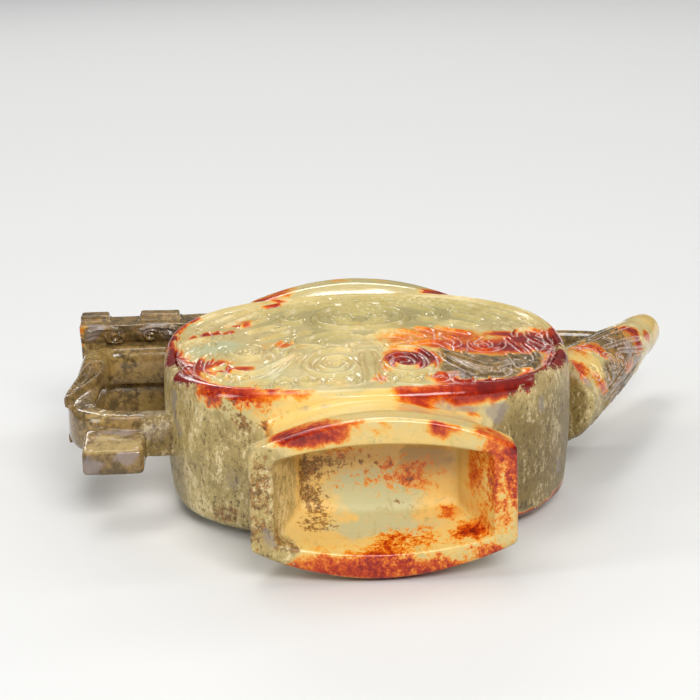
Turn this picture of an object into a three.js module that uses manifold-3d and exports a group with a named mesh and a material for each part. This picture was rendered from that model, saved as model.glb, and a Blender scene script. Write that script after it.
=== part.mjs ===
import * as THREE from "three";
import { mergeVertices } from "three/addons/utils/BufferGeometryUtils.js";
import Module from "manifold-3d";

const wasm = await Module();
wasm.setup();

// A jade wine ewer of flask form, lying on its carved back face.
// X runs from the handle to the spout, Y from the foot to the mouth, Z through the flat body.
// All sizes are in millimetres.

// Body: a shallow drum with two domed faces.
const bodyWidth = 121;
const bodyLength = 120;
const planPower = 2.7;
const sideRimHalf = 20.3;
const crownAcross = 3;
const crownAlong = 1.6;
const rimRound = 3;
const wallBelly = 0.4;
const backTaper = 1.2;
const wallThickness = 9;
const cavityHalf = 13;
const panelInset = 3.6;
const seamGap = 0.3;

// Carving: raised bands on both faces, mirrored on the long axis.
// Each is an arc, in degrees, about a middle; places and reaches are shares of the body's half sizes.
const carvingRise = 0.9;
const bandWidth = 2.4;
const bandTurn = 25;
const scrollBand = { across: 0.185, along: -0.49, wide: 0.12, tall: 0.21, from: 125, to: -430, end: 0.3 };
const hookBand = { across: 0.628, along: -0.367, wide: 0.182, tall: 0.267, from: 42, to: -75, end: 1 };
const leafBand = { across: 0.612, along: -0.367, wide: 0.264, tall: 0.35, from: 178, to: 262, end: 1 };
const bowlBand = { across: 0.595, along: -0.167, wide: 0.086, tall: 0.155, from: 120, to: 360, end: 1 };
const browBand = { across: 0.066, along: -0.167, wide: 0.155, tall: 0.14, from: 118, to: 0, end: 1 };
const ringBand = { across: 0, along: 0.4, wide: 0.231, tall: 0.245, from: 95, to: -95, end: 1 };
const lobeBand = { across: 0.05, along: 0.4, wide: 0.354, tall: 0.323, from: 98, to: -20, end: 1 };
const sweepBand = { across: 0, along: 0, wide: 0.787, tall: 0.807, from: 92, to: 25, end: 1 };

// Foot: a flared hollow base below the body.
const footReach = 28.8;
const footLipLength = 8.5;
const footHalfWidth = 35.5;
const footSideHalf = 13.5;
const footCentreHalf = 22.2;
const footNeckHalfWidth = 29.4;
const footNeckSideHalf = 11.6;
const footNeckCentreHalf = 18.8;
const flarePower = 2.2;
const recessDepth = 20;
const recessHalfWidth = 28.8;
const recessSideHalf = 11.2;
const recessCentreHalf = 15;
const recessFloorHalfWidth = 21.8;
const recessFloorSideHalf = 8.4;
const recessFloorCentreHalf = 9.8;

// Mouth: the same flare above the body, open through its throat to the cavity.
const mouthReach = 28.4;
const mouthLipLength = 8;
const mouthHalfWidth = 35;
const mouthSideHalf = 12.8;
const mouthCentreHalf = 20.2;
const mouthNeckHalfWidth = 29;
const mouthNeckSideHalf = 11.2;
const mouthNeckCentreHalf = 17.8;
const funnelDepth = 22;
const funnelHalfWidth = 28.6;
const funnelSideHalf = 9.6;
const funnelCentreHalf = 14.6;
const throatHalfWidth = 17;
const throatSideHalf = 6;
const throatCentreHalf = 8.4;

// Spout: a tapering tube that rises beside the body to the height of the mouth.
const spoutRootUp = -4;
const spoutTipOut = 38.6;
const spoutTipDrop = 8.4;
const spoutBow = 0.4;
const spoutRootRadius = 13.4;
const spoutTipRadius = 6.3;
const spoutLipLength = 12;
const spoutLipSwell = 0.35;
const spoutTaperPower = 1.25;
const spoutBoreRoot = 4.4;
const spoutBoreTip = 3.6;
const bridgeDrop = 11;
const bridgeHalfHeight = 9.4;
const bridgeThickness = 4.4;
const bridgeArch = 1.6;

// Handle: a squared loop, a crest over its upper arm and a tail under its lower one.
const fingerGap = 20.4;
const gripWidth = 8;
const handleHalf = 6.4;
const handleLift = 0.8;
const handleRound = 2;
const loopTopDrop = 0.4;
const loopBottomRise = 31.8;
const upperArmWidth = 8.6;
const lowerArmWidth = 10;
const gripBulge = 0.5;
const gapCornerRadius = 8;
const gapTopRadius = 4;
const loopCornerRadius = 10;
const loopShoulderRadius = 6;
const crestHigh = 14;
const crestLow = 16.6;
const crestDepth = 13.4;
const crestSweep = 4;
const crestOverhang = 1.2;
const crestRound = 1.2;
const hookHeight = 1.8;
const hookDepth = 6.4;
const outerHookWidth = 9.4;
const innerHookWidth = 13.2;
const innerHookOffset = 19.4;
const tailWidth = 17.8;
const tailLength = 12.4;
const tailTop = 1.4;
const tailHeight = 7.6;
const tailOffset = 6;
const tailRound = 1.3;
const heelLength = 1;
const heelTop = 4.4;
const heelHeight = 9.4;
const curlLength = 34;
const curlWidth = 8.6;
const curlRise = 1.5;
const curlOverhang = 0.6;
const curlUp = -8;
const curlTurn = 0.33;

// Smoothness of the curved forms.
const planSteps = 64;
const crownSteps = 32;
const filletSteps = 4;
const arcSteps = 12;
const sideSteps = 4;
const flareSteps = 6;
const funnelSteps = 5;
const cornerSteps = 5;
const smallCornerSteps = 2;
const roundSteps = 2;
const spoutSides = 24;
const spoutSteps = 8;
const spoutEndSteps = 3;
const boreSteps = 14;
const bridgeSides = 14;
const bridgeSteps = 7;

const halfWidth = bodyWidth / 2;
const halfLength = bodyLength / 2;
const footBase = -halfLength - footReach;
const mouthTop = halfLength + mouthReach;
const spoutTipUp = mouthTop - spoutTipDrop;
const bridgeUp = halfLength - bridgeDrop;
const loopTop = halfLength - loopTopDrop;
const loopBottom = -halfLength + loopBottomRise;
const loopOuter = -halfWidth - fingerGap - gripWidth;
const gapOuter = -halfWidth - fingerGap;
const crestLeft = loopOuter - crestOverhang;
const farOut = 4 * (bodyWidth + bodyLength);

// Materials.

function jade(color, roughness) {
  return new THREE.MeshStandardMaterial({ color, roughness, metalness: 0 });
}

const celadon = jade(0xcdbf86, 0.24);
const olive = jade(0x8b8055, 0.34);
const russet = jade(0xd98a4a, 0.28);
const smoky = jade(0x9a9078, 0.3);
const cream = jade(0xe3cf9c, 0.26);

// Closed shapes.

function point(x, y, z) {
  return new THREE.Vector3(x, y, z);
}

function middleOf(ring) {
  const sum = ring.reduce((total, p) => total.add(p), point(0, 0, 0));
  return sum.divideScalar(ring.length);
}

function signedVolume(points, triangles) {
  let six = 0;
  for (let i = 0; i < triangles.length; i += 3) {
    const [a, b, c] = [0, 1, 2].map((k) => points[triangles[i + k]]);
    six += a.dot(new THREE.Vector3().crossVectors(b, c));
  }
  return six / 6;
}

// Triangles between two neighbouring rings; a ring of one point is a pole.
function bandBetween(lower, upper, lowerStart, upperStart) {
  const triangles = [];
  const count = Math.max(lower.length, upper.length);
  for (let i = 0; i < count; i++) {
    const j = (i + 1) % count;
    if (lower.length > 1) triangles.push(lowerStart + i, lowerStart + j, upperStart + (i % upper.length));
    if (upper.length > 1) triangles.push(lowerStart + (j % lower.length), upperStart + j, upperStart + i);
  }
  return triangles;
}

// A closed solid skinned over a row of rings that all have the same number of points.
function skinned(openRings) {
  const first = openRings[0];
  const last = openRings[openRings.length - 1];
  const rings = [...openRings];
  if (first.length > 1) rings.unshift([middleOf(first)]);
  if (last.length > 1) rings.push([middleOf(last)]);
  const points = rings.flat();
  const triangles = [];
  let start = 0;
  for (let k = 0; k + 1 < rings.length; k++) {
    const next = start + rings[k].length;
    triangles.push(...bandBetween(rings[k], rings[k + 1], start, next));
    start = next;
  }
  if (signedVolume(points, triangles) < 0) triangles.reverse();
  const geometry = new THREE.BufferGeometry().setFromPoints(points);
  return geometry.setIndex(triangles);
}

function solidOf(geometry) {
  const bare = geometry.clone();
  bare.deleteAttribute("normal");
  bare.deleteAttribute("uv");
  const merged = mergeVertices(bare, 1e-4);
  return new wasm.Manifold(
    new wasm.Mesh({
      numProp: 3,
      vertProperties: new Float32Array(merged.attributes.position.array),
      triVerts: new Uint32Array(merged.index.array),
    }),
  );
}

function meshOf(name, solid, material) {
  const { vertProperties, triVerts } = solid.getMesh();
  const geometry = new THREE.BufferGeometry();
  geometry.setAttribute("position", new THREE.BufferAttribute(vertProperties, 3));
  geometry.setIndex(new THREE.BufferAttribute(triVerts, 1));
  geometry.computeVertexNormals();
  const mesh = new THREE.Mesh(geometry, material);
  mesh.name = name;
  return mesh;
}

function boxBetween(low, high) {
  const size = new THREE.Vector3().subVectors(high, low);
  const middle = new THREE.Vector3().addVectors(low, high).multiplyScalar(0.5);
  const box = new THREE.BoxGeometry(size.x, size.y, size.z);
  return solidOf(box.translate(middle.x, middle.y, middle.z));
}

// Everything between two heights along Y.
function slab(lowY, highY) {
  return boxBetween(point(-farOut, lowY, -farOut), point(farOut, highY, farOut));
}

// An outline in the XY plane, extruded in Z with rounded edges.
function plate(outline, lowZ, highZ, round, steps = cornerSteps) {
  const geometry = new THREE.ExtrudeGeometry(outline, {
    depth: highZ - lowZ - 2 * round,
    bevelEnabled: round > 0,
    bevelThickness: round,
    bevelSize: round,
    bevelOffset: -round,
    bevelSegments: roundSteps,
    curveSegments: steps,
    steps: 1,
  });
  return geometry.translate(0, 0, lowZ + round);
}

function roundedRectangle(left, right, low, high, radius) {
  const shape = new THREE.Shape();
  shape.moveTo(left + radius, low);
  shape.lineTo(right - radius, low);
  shape.absarc(right - radius, low + radius, radius, -Math.PI / 2, 0);
  shape.lineTo(right, high - radius);
  shape.absarc(right - radius, high - radius, radius, 0, Math.PI / 2);
  shape.lineTo(left + radius, high);
  shape.absarc(left + radius, high - radius, radius, Math.PI / 2, Math.PI);
  shape.lineTo(left, low + radius);
  shape.absarc(left + radius, low + radius, radius, Math.PI, 1.5 * Math.PI);
  return shape;
}

// Body.

// Distance from the axis to the outline of the body at a polar angle.
function planRadius(angle) {
  const across = Math.abs(Math.cos(angle) / halfWidth) ** planPower;
  const along = Math.abs(Math.sin(angle) / halfLength) ** planPower;
  return (across + along) ** (-1 / planPower);
}

// X of the body's side at a height along Y, on the spout's side.
function sideAt(y) {
  return halfWidth * (1 - Math.min(1, Math.abs(y) / halfLength) ** planPower) ** (1 / planPower);
}

// Half the body's thickness at a place on its face.
function crownAt(x, y) {
  const across = crownAcross * (1 - (x / halfWidth) ** 2);
  const along = crownAlong * (1 - (y / halfLength) ** 2);
  return sideRimHalf - crownAlong + across + along;
}

function planRing(inset, heightAt, steps = planSteps) {
  return Array.from({ length: steps }, (_, i) => {
    const angle = (2 * Math.PI * i) / steps;
    const radius = planRadius(angle) - inset;
    const x = radius * Math.cos(angle);
    const y = radius * Math.sin(angle);
    return point(x, y, heightAt(x, y));
  });
}

// The rings of one face, from the waist of the wall over the rounded rim to the crown.
// The wall leans in a little towards the back face.
function faceRings(side, grow) {
  const rings = [];
  const taper = side < 0 ? backTaper : 0;
  const wallInset = (share) => wallBelly * share ** 2 + taper * share;
  for (const share of [0.35, 0.7]) {
    rings.push(planRing(wallInset(share) - grow, (x, y) => side * share * (crownAt(x, y) - rimRound)));
  }
  for (let k = 0; k <= filletSteps; k++) {
    const turn = (Math.PI / 2) * (k / filletSteps);
    const inset = wallInset(1) + rimRound * (1 - Math.cos(turn)) - grow;
    const drop = rimRound * (1 - Math.sin(turn)) - grow;
    rings.push(planRing(inset, (x, y) => side * (crownAt(x, y) - drop)));
  }
  for (const share of [0.3, 0.6]) {
    rings.push(planRing(share * halfLength, (x, y) => side * (crownAt(x, y) + grow)));
  }
  rings.push([point(0, 0, side * (crownAt(0, 0) + grow))]);
  return rings;
}

// The whole outer form of the body, grown outwards by a clearance.
function drum(grow) {
  const back = faceRings(-1, grow).reverse();
  const waist = planRing(-grow, () => 0);
  return solidOf(skinned([...back, waist, ...faceRings(1, grow)]));
}

function planPrism(inset, lowZ, highZ) {
  const rings = [lowZ, highZ].map((z) => planRing(inset, () => z));
  return solidOf(skinned(rings));
}

function bodyWall(passages) {
  const pocketTop = farOut;
  let wall = drum(0)
    .subtract(planPrism(panelInset, cavityHalf, pocketTop))
    .subtract(planPrism(panelInset, -pocketTop, -cavityHalf))
    .subtract(planPrism(wallThickness, -cavityHalf - 1, cavityHalf + 1));
  for (const passage of passages) wall = wall.subtract(passage);
  return wall;
}

// The middle line of a carved band, from its arc; an end below 1 winds it inwards.
function bandLine(band, mirror) {
  const steps = Math.ceil(Math.abs(band.to - band.from) / bandTurn);
  return Array.from({ length: steps + 1 }, (_, i) => {
    const share = i / steps;
    const angle = THREE.MathUtils.degToRad(band.from + (band.to - band.from) * share);
    const reach = 1 + (band.end - 1) * share;
    const x = mirror * halfWidth * (band.across + band.wide * reach * Math.cos(angle));
    const y = halfLength * (band.along + band.tall * reach * Math.sin(angle));
    return new THREE.Vector2(x, y);
  });
}

// A strip of the band's width along a line.
function bandOutline(line) {
  const near = [];
  const far = [];
  line.forEach((here, i) => {
    const before = line[Math.max(i - 1, 0)];
    const after = line[Math.min(i + 1, line.length - 1)];
    const along = after.clone().sub(before).normalize();
    const across = new THREE.Vector2(along.y, -along.x).multiplyScalar(bandWidth / 2);
    near.push(here.clone().add(across));
    far.unshift(here.clone().sub(across));
  });
  return new THREE.Shape([...near, ...far]);
}

// All the bands of one face, as upright strips through its panel.
function carving(lowZ, highZ) {
  const bands = [scrollBand, hookBand, leafBand, bowlBand, browBand, ringBand, lobeBand, sweepBand];
  const strips = bands.flatMap((band) => [1, -1].map((mirror) => bandOutline(bandLine(band, mirror))));
  return strips.map((strip) => solidOf(plate(strip, lowZ, highZ, 0))).reduce((all, strip) => all.add(strip));
}

// Everything between the middle plane and a face's crown lowered by a depth.
function underCrown(side, depth) {
  const crown = (x, y) => side * (crownAt(x, y) - depth);
  const insets = [0, 0.3, 0.6].map((share) => share * halfLength);
  const rings = insets.map((inset) => planRing(inset, crown, crownSteps));
  const middle = planRing(0, () => 0, crownSteps);
  return solidOf(skinned([middle, ...rings, [point(0, 0, crown(0, 0))]]));
}

function facePanel(side) {
  const heights = [side * cavityHalf, side * farOut].sort((a, b) => a - b);
  const prism = planPrism(panelInset + seamGap, ...heights);
  const ground = underCrown(side, carvingRise);
  const bands = underCrown(side, 0).intersect(carving(...heights));
  return prism.intersect(ground.add(bands));
}

// Foot and mouth.

// A flat-sided ring with arched top and bottom, square to Y.
function lensRing(y, halfWide, sideHalf, centreHalf) {
  const ring = [];
  const archAt = (x) => sideHalf + (centreHalf - sideHalf) * (1 - (x / halfWide) ** 2);
  for (const side of [1, -1]) {
    for (let i = 0; i < arcSteps; i++) {
      const x = side * halfWide * (1 - (2 * i) / arcSteps);
      ring.push(point(x, y, side * archAt(x)));
    }
    for (let i = 0; i < sideSteps; i++) {
      ring.push(point(-side * halfWide, y, side * sideHalf * (1 - (2 * i) / sideSteps)));
    }
  }
  return ring;
}

function blend(from, to, share) {
  return from.map((value, i) => value + (to[i] - value) * share);
}

// A neck that sweeps out in a hollow curve to a straight lip.
function flare(side, base, lipLength, neckSection, lipSection) {
  const start = side * (halfLength - wallThickness);
  const lipStart = base - side * lipLength;
  const neckStart = side * halfLength;
  const rings = [lensRing(start, ...neckSection)];
  for (let i = 0; i <= flareSteps; i++) {
    const share = i / flareSteps;
    const y = neckStart + (lipStart - neckStart) * share;
    rings.push(lensRing(y, ...blend(neckSection, lipSection, share ** flarePower)));
  }
  rings.push(lensRing(base, ...lipSection));
  return solidOf(skinned(rings));
}

const footLip = [footHalfWidth, footSideHalf, footCentreHalf];
const footNeck = [footNeckHalfWidth, footNeckSideHalf, footNeckCentreHalf];
const recessMouth = [recessHalfWidth, recessSideHalf, recessCentreHalf];
const recessFloor = [recessFloorHalfWidth, recessFloorSideHalf, recessFloorCentreHalf];
const mouthLip = [mouthHalfWidth, mouthSideHalf, mouthCentreHalf];
const mouthNeck = [mouthNeckHalfWidth, mouthNeckSideHalf, mouthNeckCentreHalf];
const funnelMouth = [funnelHalfWidth, funnelSideHalf, funnelCentreHalf];
const throat = [throatHalfWidth, throatSideHalf, throatCentreHalf];

function footRecess() {
  const opening = blend(recessMouth, recessFloor, -1 / recessDepth);
  const rings = [
    lensRing(footBase - 1, ...opening),
    lensRing(footBase + recessDepth, ...recessFloor),
  ];
  return solidOf(skinned(rings));
}

function grownBy(section, clearance) {
  return section.map((half) => half + clearance);
}

function footPieces() {
  const split = footBase + footLipLength;
  const whole = flare(-1, footBase, footLipLength, footNeck, footLip)
    .subtract(footRecess())
    .subtract(drum(seamGap));
  return [whole.intersect(slab(split + seamGap, 0)), whole.intersect(slab(-farOut, split))];
}

// The funnel of the mouth and the throat below it, as far as the cavity.
function mouthPassage() {
  const opening = blend(funnelMouth, throat, -1 / funnelDepth);
  const rings = [lensRing(mouthTop + 1, ...opening)];
  for (let i = 1; i <= funnelSteps; i++) {
    const share = i / funnelSteps;
    const swept = Math.sin((share * Math.PI) / 2);
    rings.push(lensRing(mouthTop - funnelDepth * share, ...blend(funnelMouth, throat, swept)));
  }
  rings.push(lensRing(halfLength - 2 * wallThickness, ...throat));
  return solidOf(skinned(rings));
}

function mouthPieces(passage) {
  const split = mouthTop - mouthLipLength;
  const whole = flare(1, mouthTop, mouthLipLength, mouthNeck, mouthLip)
    .subtract(passage)
    .subtract(drum(seamGap));
  return [whole.intersect(slab(0, split - seamGap)), whole.intersect(slab(split, farOut))];
}

// Spout.

const spoutRoot = point(halfWidth - wallThickness / 2, spoutRootUp, 0);
const spoutTip = point(halfWidth + spoutTipOut, spoutTipUp, 0);
const spoutAlong = new THREE.Vector3().subVectors(spoutTip, spoutRoot).normalize();
const spoutAcross = point(spoutAlong.y, -spoutAlong.x, 0);

// The spout's centre line, which bows a little away from the body.
function spoutCentre(share) {
  const bow = spoutBow * Math.sin(Math.PI * share);
  return spoutRoot.clone().lerp(spoutTip, share).addScaledVector(spoutAcross, bow);
}

function circleAround(centre, along, radius) {
  const across = point(along.y, -along.x, 0).normalize();
  return Array.from({ length: spoutSides }, (_, i) => {
    const angle = (2 * Math.PI * i) / spoutSides;
    const out = centre.clone().addScaledVector(across, radius * Math.cos(angle));
    return out.setZ(radius * Math.sin(angle));
  });
}

function spoutRadius(share) {
  const swell = spoutLipSwell * Math.sin(Math.PI * Math.max(0, 6 * share - 5));
  return spoutRootRadius + (spoutTipRadius - spoutRootRadius) * share ** spoutTaperPower + swell;
}

// The spout's outer form, with a rounded end past its centre line.
function spoutForm() {
  const rings = [];
  for (let i = 0; i <= spoutSteps; i++) {
    const share = i / spoutSteps;
    rings.push(circleAround(spoutCentre(share), spoutAlong, spoutRadius(share)));
  }
  const endRound = spoutTipRadius - spoutBoreTip;
  for (let i = 1; i <= spoutEndSteps; i++) {
    const turn = (Math.PI / 2) * (i / spoutEndSteps);
    const centre = spoutTip.clone().addScaledVector(spoutAlong, endRound * Math.sin(turn));
    rings.push(circleAround(centre, spoutAlong, spoutTipRadius - endRound * (1 - Math.cos(turn))));
  }
  return solidOf(skinned(rings));
}

// The bore runs down the centre line and turns through the wall into the cavity.
function spoutBore() {
  const past = spoutTip.clone().addScaledVector(spoutAlong, spoutTipRadius);
  const turning = spoutCentre(0.16);
  const inside = point(halfWidth - 2 * wallThickness, turning.y - wallThickness, 0);
  const path = new THREE.CatmullRomCurve3([past, spoutTip, spoutCentre(0.6), turning, inside]);
  const rings = [];
  for (let i = 0; i <= boreSteps; i++) {
    const share = i / boreSteps;
    const radius = spoutBoreTip + (spoutBoreRoot - spoutBoreTip) * share;
    rings.push(circleAround(path.getPoint(share), path.getTangent(share), radius));
  }
  return solidOf(skinned(rings));
}

// Everything past a distance from the spout's tip, measured back along the spout.
function beyondSpout(distance) {
  const start = spoutTip.clone().addScaledVector(spoutAlong, -distance);
  const block = new THREE.BoxGeometry(farOut, farOut, farOut).translate(0, farOut / 2, 0);
  block.rotateZ(Math.atan2(-spoutAlong.x, spoutAlong.y));
  return solidOf(block.translate(start.x, start.y, 0));
}

function spoutPieces(bore) {
  const whole = spoutForm().subtract(drum(seamGap)).subtract(bore);
  const tube = whole.subtract(beyondSpout(spoutLipLength));
  const lip = whole.intersect(beyondSpout(spoutLipLength - seamGap));
  return [tube, lip];
}

// A strap that ties the spout to the body's shoulder.
function spoutBridge(spout) {
  const start = sideAt(bridgeUp) - wallThickness;
  const reach = (bridgeUp - spoutRootUp) / (spoutTipUp - spoutRootUp);
  const end = spoutCentre(reach).x;
  const rings = [];
  for (let i = 0; i <= bridgeSteps; i++) {
    const share = i / bridgeSteps;
    const x = start + (end - start) * share;
    const half = bridgeHalfHeight - bridgeArch * (2 * share - 1) ** 2;
    const ring = Array.from({ length: bridgeSides }, (_, k) => {
      const angle = (2 * Math.PI * k) / bridgeSides;
      const y = bridgeUp + (bridgeThickness / 2) * Math.cos(angle);
      return point(x, y, half * Math.sin(angle));
    });
    rings.push(ring);
  }
  return solidOf(skinned(rings)).subtract(drum(seamGap)).subtract(spout);
}

// Handle.

// The loop's outline, with the finger gap left open towards the body.
function loopShape() {
  const inner = -Math.max(sideAt(loopTop), mouthNeckHalfWidth) - 2 * seamGap;
  const gapTop = loopTop - upperArmWidth;
  const gapBottom = loopBottom + lowerArmWidth;
  const bulgeOut = loopOuter - gripBulge;
  const shape = new THREE.Shape();
  shape.moveTo(inner, loopBottom);
  shape.lineTo(loopOuter + loopCornerRadius, loopBottom);
  shape.quadraticCurveTo(loopOuter, loopBottom, loopOuter, loopBottom + loopCornerRadius);
  const middle = (loopTop + loopBottom) / 2;
  shape.quadraticCurveTo(bulgeOut - gripBulge, middle, loopOuter, loopTop - loopShoulderRadius);
  shape.quadraticCurveTo(loopOuter, loopTop, loopOuter + loopShoulderRadius, loopTop);
  shape.lineTo(inner, loopTop);
  shape.lineTo(inner, gapTop);
  shape.lineTo(gapOuter + gapTopRadius, gapTop);
  shape.quadraticCurveTo(gapOuter, gapTop, gapOuter, gapTop - gapTopRadius);
  shape.lineTo(gapOuter, gapBottom + gapCornerRadius);
  shape.quadraticCurveTo(gapOuter, gapBottom, gapOuter + gapCornerRadius, gapBottom);
  shape.lineTo(inner, gapBottom);
  return shape;
}

function loopPieces() {
  const low = handleLift - handleHalf;
  const high = handleLift + handleHalf;
  const loop = solidOf(plate(loopShape(), low, high, handleRound)).subtract(drum(seamGap));
  const armStart = gapOuter + gapCornerRadius;
  const half = (low, high) => boxBetween(point(...low, -farOut), point(...high, farOut));
  const middle = (loopTop + loopBottom) / 2;
  return {
    grip: loop.intersect(half([-farOut, -farOut], [armStart, farOut])),
    upper: loop.intersect(half([armStart + seamGap, middle], [farOut, farOut])),
    lower: loop.intersect(half([armStart + seamGap, -farOut], [farOut, middle])),
  };
}

// The crest's section across the handle: it sweeps up from the arm to a thick flat-topped block.
function crestSection() {
  const front = loopTop + seamGap;
  const rear = front + crestDepth - crestSweep;
  const shape = new THREE.Shape();
  shape.moveTo(rear, -crestLow);
  shape.lineTo(rear, crestHigh);
  shape.lineTo(front - crestSweep, crestHigh);
  const armTop = handleLift + handleHalf;
  const armBottom = handleLift - handleHalf;
  shape.quadraticCurveTo(front - crestSweep / 2, armTop + 3 * seamGap, front, armTop);
  shape.lineTo(front, armBottom);
  shape.quadraticCurveTo(front - crestSweep / 2, armBottom - 3 * seamGap, front - crestSweep, -crestLow);
  return shape;
}

// The section above, given as Y and Z, run along X from past the loop's outer edge to the mouth's neck.
function crest() {
  const left = crestLeft;
  const right = 0;
  const neck = flare(1, mouthTop, mouthLipLength, grownBy(mouthNeck, seamGap), grownBy(mouthLip, seamGap));
  const geometry = new THREE.ExtrudeGeometry(crestSection(), {
    depth: right - left,
    bevelEnabled: false,
    curveSegments: cornerSteps,
  });
  const alongX = new THREE.Matrix4().makeBasis(point(0, 1, 0), point(0, 0, 1), point(1, 0, 0));
  const block = solidOf(geometry.applyMatrix4(alongX).translate(left, 0, 0));
  return block.subtract(drum(seamGap)).subtract(neck);
}

function hook(side, left, width) {
  const rear = loopTop + seamGap + crestDepth - crestSweep;
  const outline = roundedRectangle(left, left + width, rear - hookDepth, rear, crestRound);
  const low = side > 0 ? crestHigh : -crestLow - hookHeight;
  return solidOf(plate(outline, low, low + hookHeight, 0, smallCornerSteps));
}

function tail() {
  const left = loopOuter + tailOffset;
  const top = loopBottom - seamGap;
  const outline = roundedRectangle(left, left + tailWidth, top - tailLength, top, 2 * tailRound);
  return solidOf(plate(outline, tailTop - tailHeight, tailTop, tailRound, smallCornerSteps));
}

function heel() {
  const left = loopOuter + tailOffset + tailWidth + seamGap;
  const top = loopBottom - seamGap;
  const outline = new THREE.Shape();
  outline.moveTo(left, top);
  outline.quadraticCurveTo(-halfWidth, top - heelLength / 4, -halfWidth, top - heelLength);
  outline.lineTo(0, top - heelLength);
  outline.lineTo(0, top);
  return solidOf(plate(outline, heelTop - heelHeight, heelTop, 0)).subtract(drum(seamGap));
}

// A teardrop that lies along the grip, with its tip past the grip's outer edge.
function curl(side) {
  const shape = new THREE.Shape();
  const head = curlWidth / 2;
  shape.moveTo(0, 0);
  shape.quadraticCurveTo(head * 1.1, curlLength * 0.35, head, curlLength - head);
  shape.absarc(0, curlLength - head, head, 0, Math.PI);
  shape.quadraticCurveTo(-head * 0.9, curlLength * 0.45, 0, 0);
  const low = side > 0 ? handleLift + handleHalf : handleLift - handleHalf - curlRise;
  const geometry = plate(shape, low, low + curlRise, 0).rotateZ(-curlTurn);
  return solidOf(geometry.translate(loopOuter - gripBulge - curlOverhang, curlUp, 0));
}

// Assembly.

const passage = mouthPassage();
const bore = spoutBore();
const [footNeckSolid, footLipSolid] = footPieces();
const [mouthNeckSolid, mouthLipSolid] = mouthPieces(passage);
const [spoutTubeSolid, spoutLipSolid] = spoutPieces(bore);
const loop = loopPieces();
const outerHookLeft = crestLeft;
const innerHookLeft = crestLeft + innerHookOffset;

const pieces = [
  meshOf("body_wall", bodyWall([passage, bore]), olive),
  meshOf("front_panel", facePanel(1), celadon),
  meshOf("back_panel", facePanel(-1), celadon),
  meshOf("foot_neck", footNeckSolid, russet),
  meshOf("foot_lip", footLipSolid, russet),
  meshOf("mouth_neck", mouthNeckSolid, celadon),
  meshOf("mouth_lip", mouthLipSolid, russet),
  meshOf("spout_tube", spoutTubeSolid, russet),
  meshOf("spout_lip", spoutLipSolid, cream),
  meshOf("spout_bridge", spoutBridge(spoutForm()), olive),
  meshOf("handle_grip", loop.grip, smoky),
  meshOf("handle_upper_arm", loop.upper, smoky),
  meshOf("handle_lower_arm", loop.lower, smoky),
  meshOf("handle_crest", crest(), smoky),
  meshOf("crest_hook_outer_front", hook(1, outerHookLeft, outerHookWidth), smoky),
  meshOf("crest_hook_inner_front", hook(1, innerHookLeft, innerHookWidth), smoky),
  meshOf("crest_hook_outer_back", hook(-1, outerHookLeft, outerHookWidth), smoky),
  meshOf("crest_hook_inner_back", hook(-1, innerHookLeft, innerHookWidth), smoky),
  meshOf("handle_tail", tail(), smoky),
  meshOf("handle_heel", heel(), olive),
  meshOf("handle_curl_front", curl(1), smoky),
  meshOf("handle_curl_back", curl(-1), smoky),
];

const ewer = new THREE.Group();
ewer.add(...pieces);

// The origin is the middle of the ewer's box, on the plane that it lies on.
const bounds = new THREE.Box3().setFromObject(ewer, true);
const centre = bounds.getCenter(point(0, 0, 0));
ewer.position.set(-centre.x, -centre.y, -bounds.min.z);

export default ewer;
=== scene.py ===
import math

import bpy
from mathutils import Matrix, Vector, noise
from mathutils.kdtree import KDTree


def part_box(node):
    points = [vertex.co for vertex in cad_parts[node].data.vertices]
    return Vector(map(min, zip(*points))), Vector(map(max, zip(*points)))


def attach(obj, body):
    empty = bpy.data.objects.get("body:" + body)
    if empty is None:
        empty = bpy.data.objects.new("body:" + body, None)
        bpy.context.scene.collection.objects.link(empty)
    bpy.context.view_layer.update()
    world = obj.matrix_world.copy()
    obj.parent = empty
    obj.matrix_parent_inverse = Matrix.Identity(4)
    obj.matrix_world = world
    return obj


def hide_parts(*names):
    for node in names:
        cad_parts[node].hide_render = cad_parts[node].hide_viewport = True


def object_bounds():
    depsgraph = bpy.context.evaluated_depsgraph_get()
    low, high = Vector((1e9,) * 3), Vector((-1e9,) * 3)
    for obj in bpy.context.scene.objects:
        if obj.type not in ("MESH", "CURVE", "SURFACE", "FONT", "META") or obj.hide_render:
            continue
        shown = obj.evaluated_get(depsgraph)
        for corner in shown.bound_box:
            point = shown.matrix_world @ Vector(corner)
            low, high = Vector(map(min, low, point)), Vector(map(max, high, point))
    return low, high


# A carved jade wine ewer lying on its back face.
# Places are written in millimetres from the middle of the flat body:
# x from the handle to the spout, y from the foot to the mouth, z up through the body.

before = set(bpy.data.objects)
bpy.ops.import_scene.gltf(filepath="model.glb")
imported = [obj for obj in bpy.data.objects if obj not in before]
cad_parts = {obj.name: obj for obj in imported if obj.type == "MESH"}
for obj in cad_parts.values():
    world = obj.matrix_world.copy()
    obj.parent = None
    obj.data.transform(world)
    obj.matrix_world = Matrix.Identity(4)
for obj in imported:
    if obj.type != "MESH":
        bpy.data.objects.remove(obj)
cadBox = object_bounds()
noise.seed_set(5)  # without it, noise_vector starts from the clock
mm = 0.001
footReach = 88.8        # from the middle of the body to the foot's open end
wallLow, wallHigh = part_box("body_wall")
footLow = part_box("foot_lip")[0]
bodyMiddle = Vector((
    (wallLow.x + wallHigh.x) / 2,
    footLow.y + footReach * mm,
    (cadBox[0][2] + cadBox[1][2]) / 2,
))


def place(x, y, z):
    return bodyMiddle + Vector((x, y, z)) * mm


def fromMiddle(co):
    return (co - bodyMiddle) / mm


def pickNothing():
    bpy.ops.object.select_all(action="DESELECT")


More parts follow.
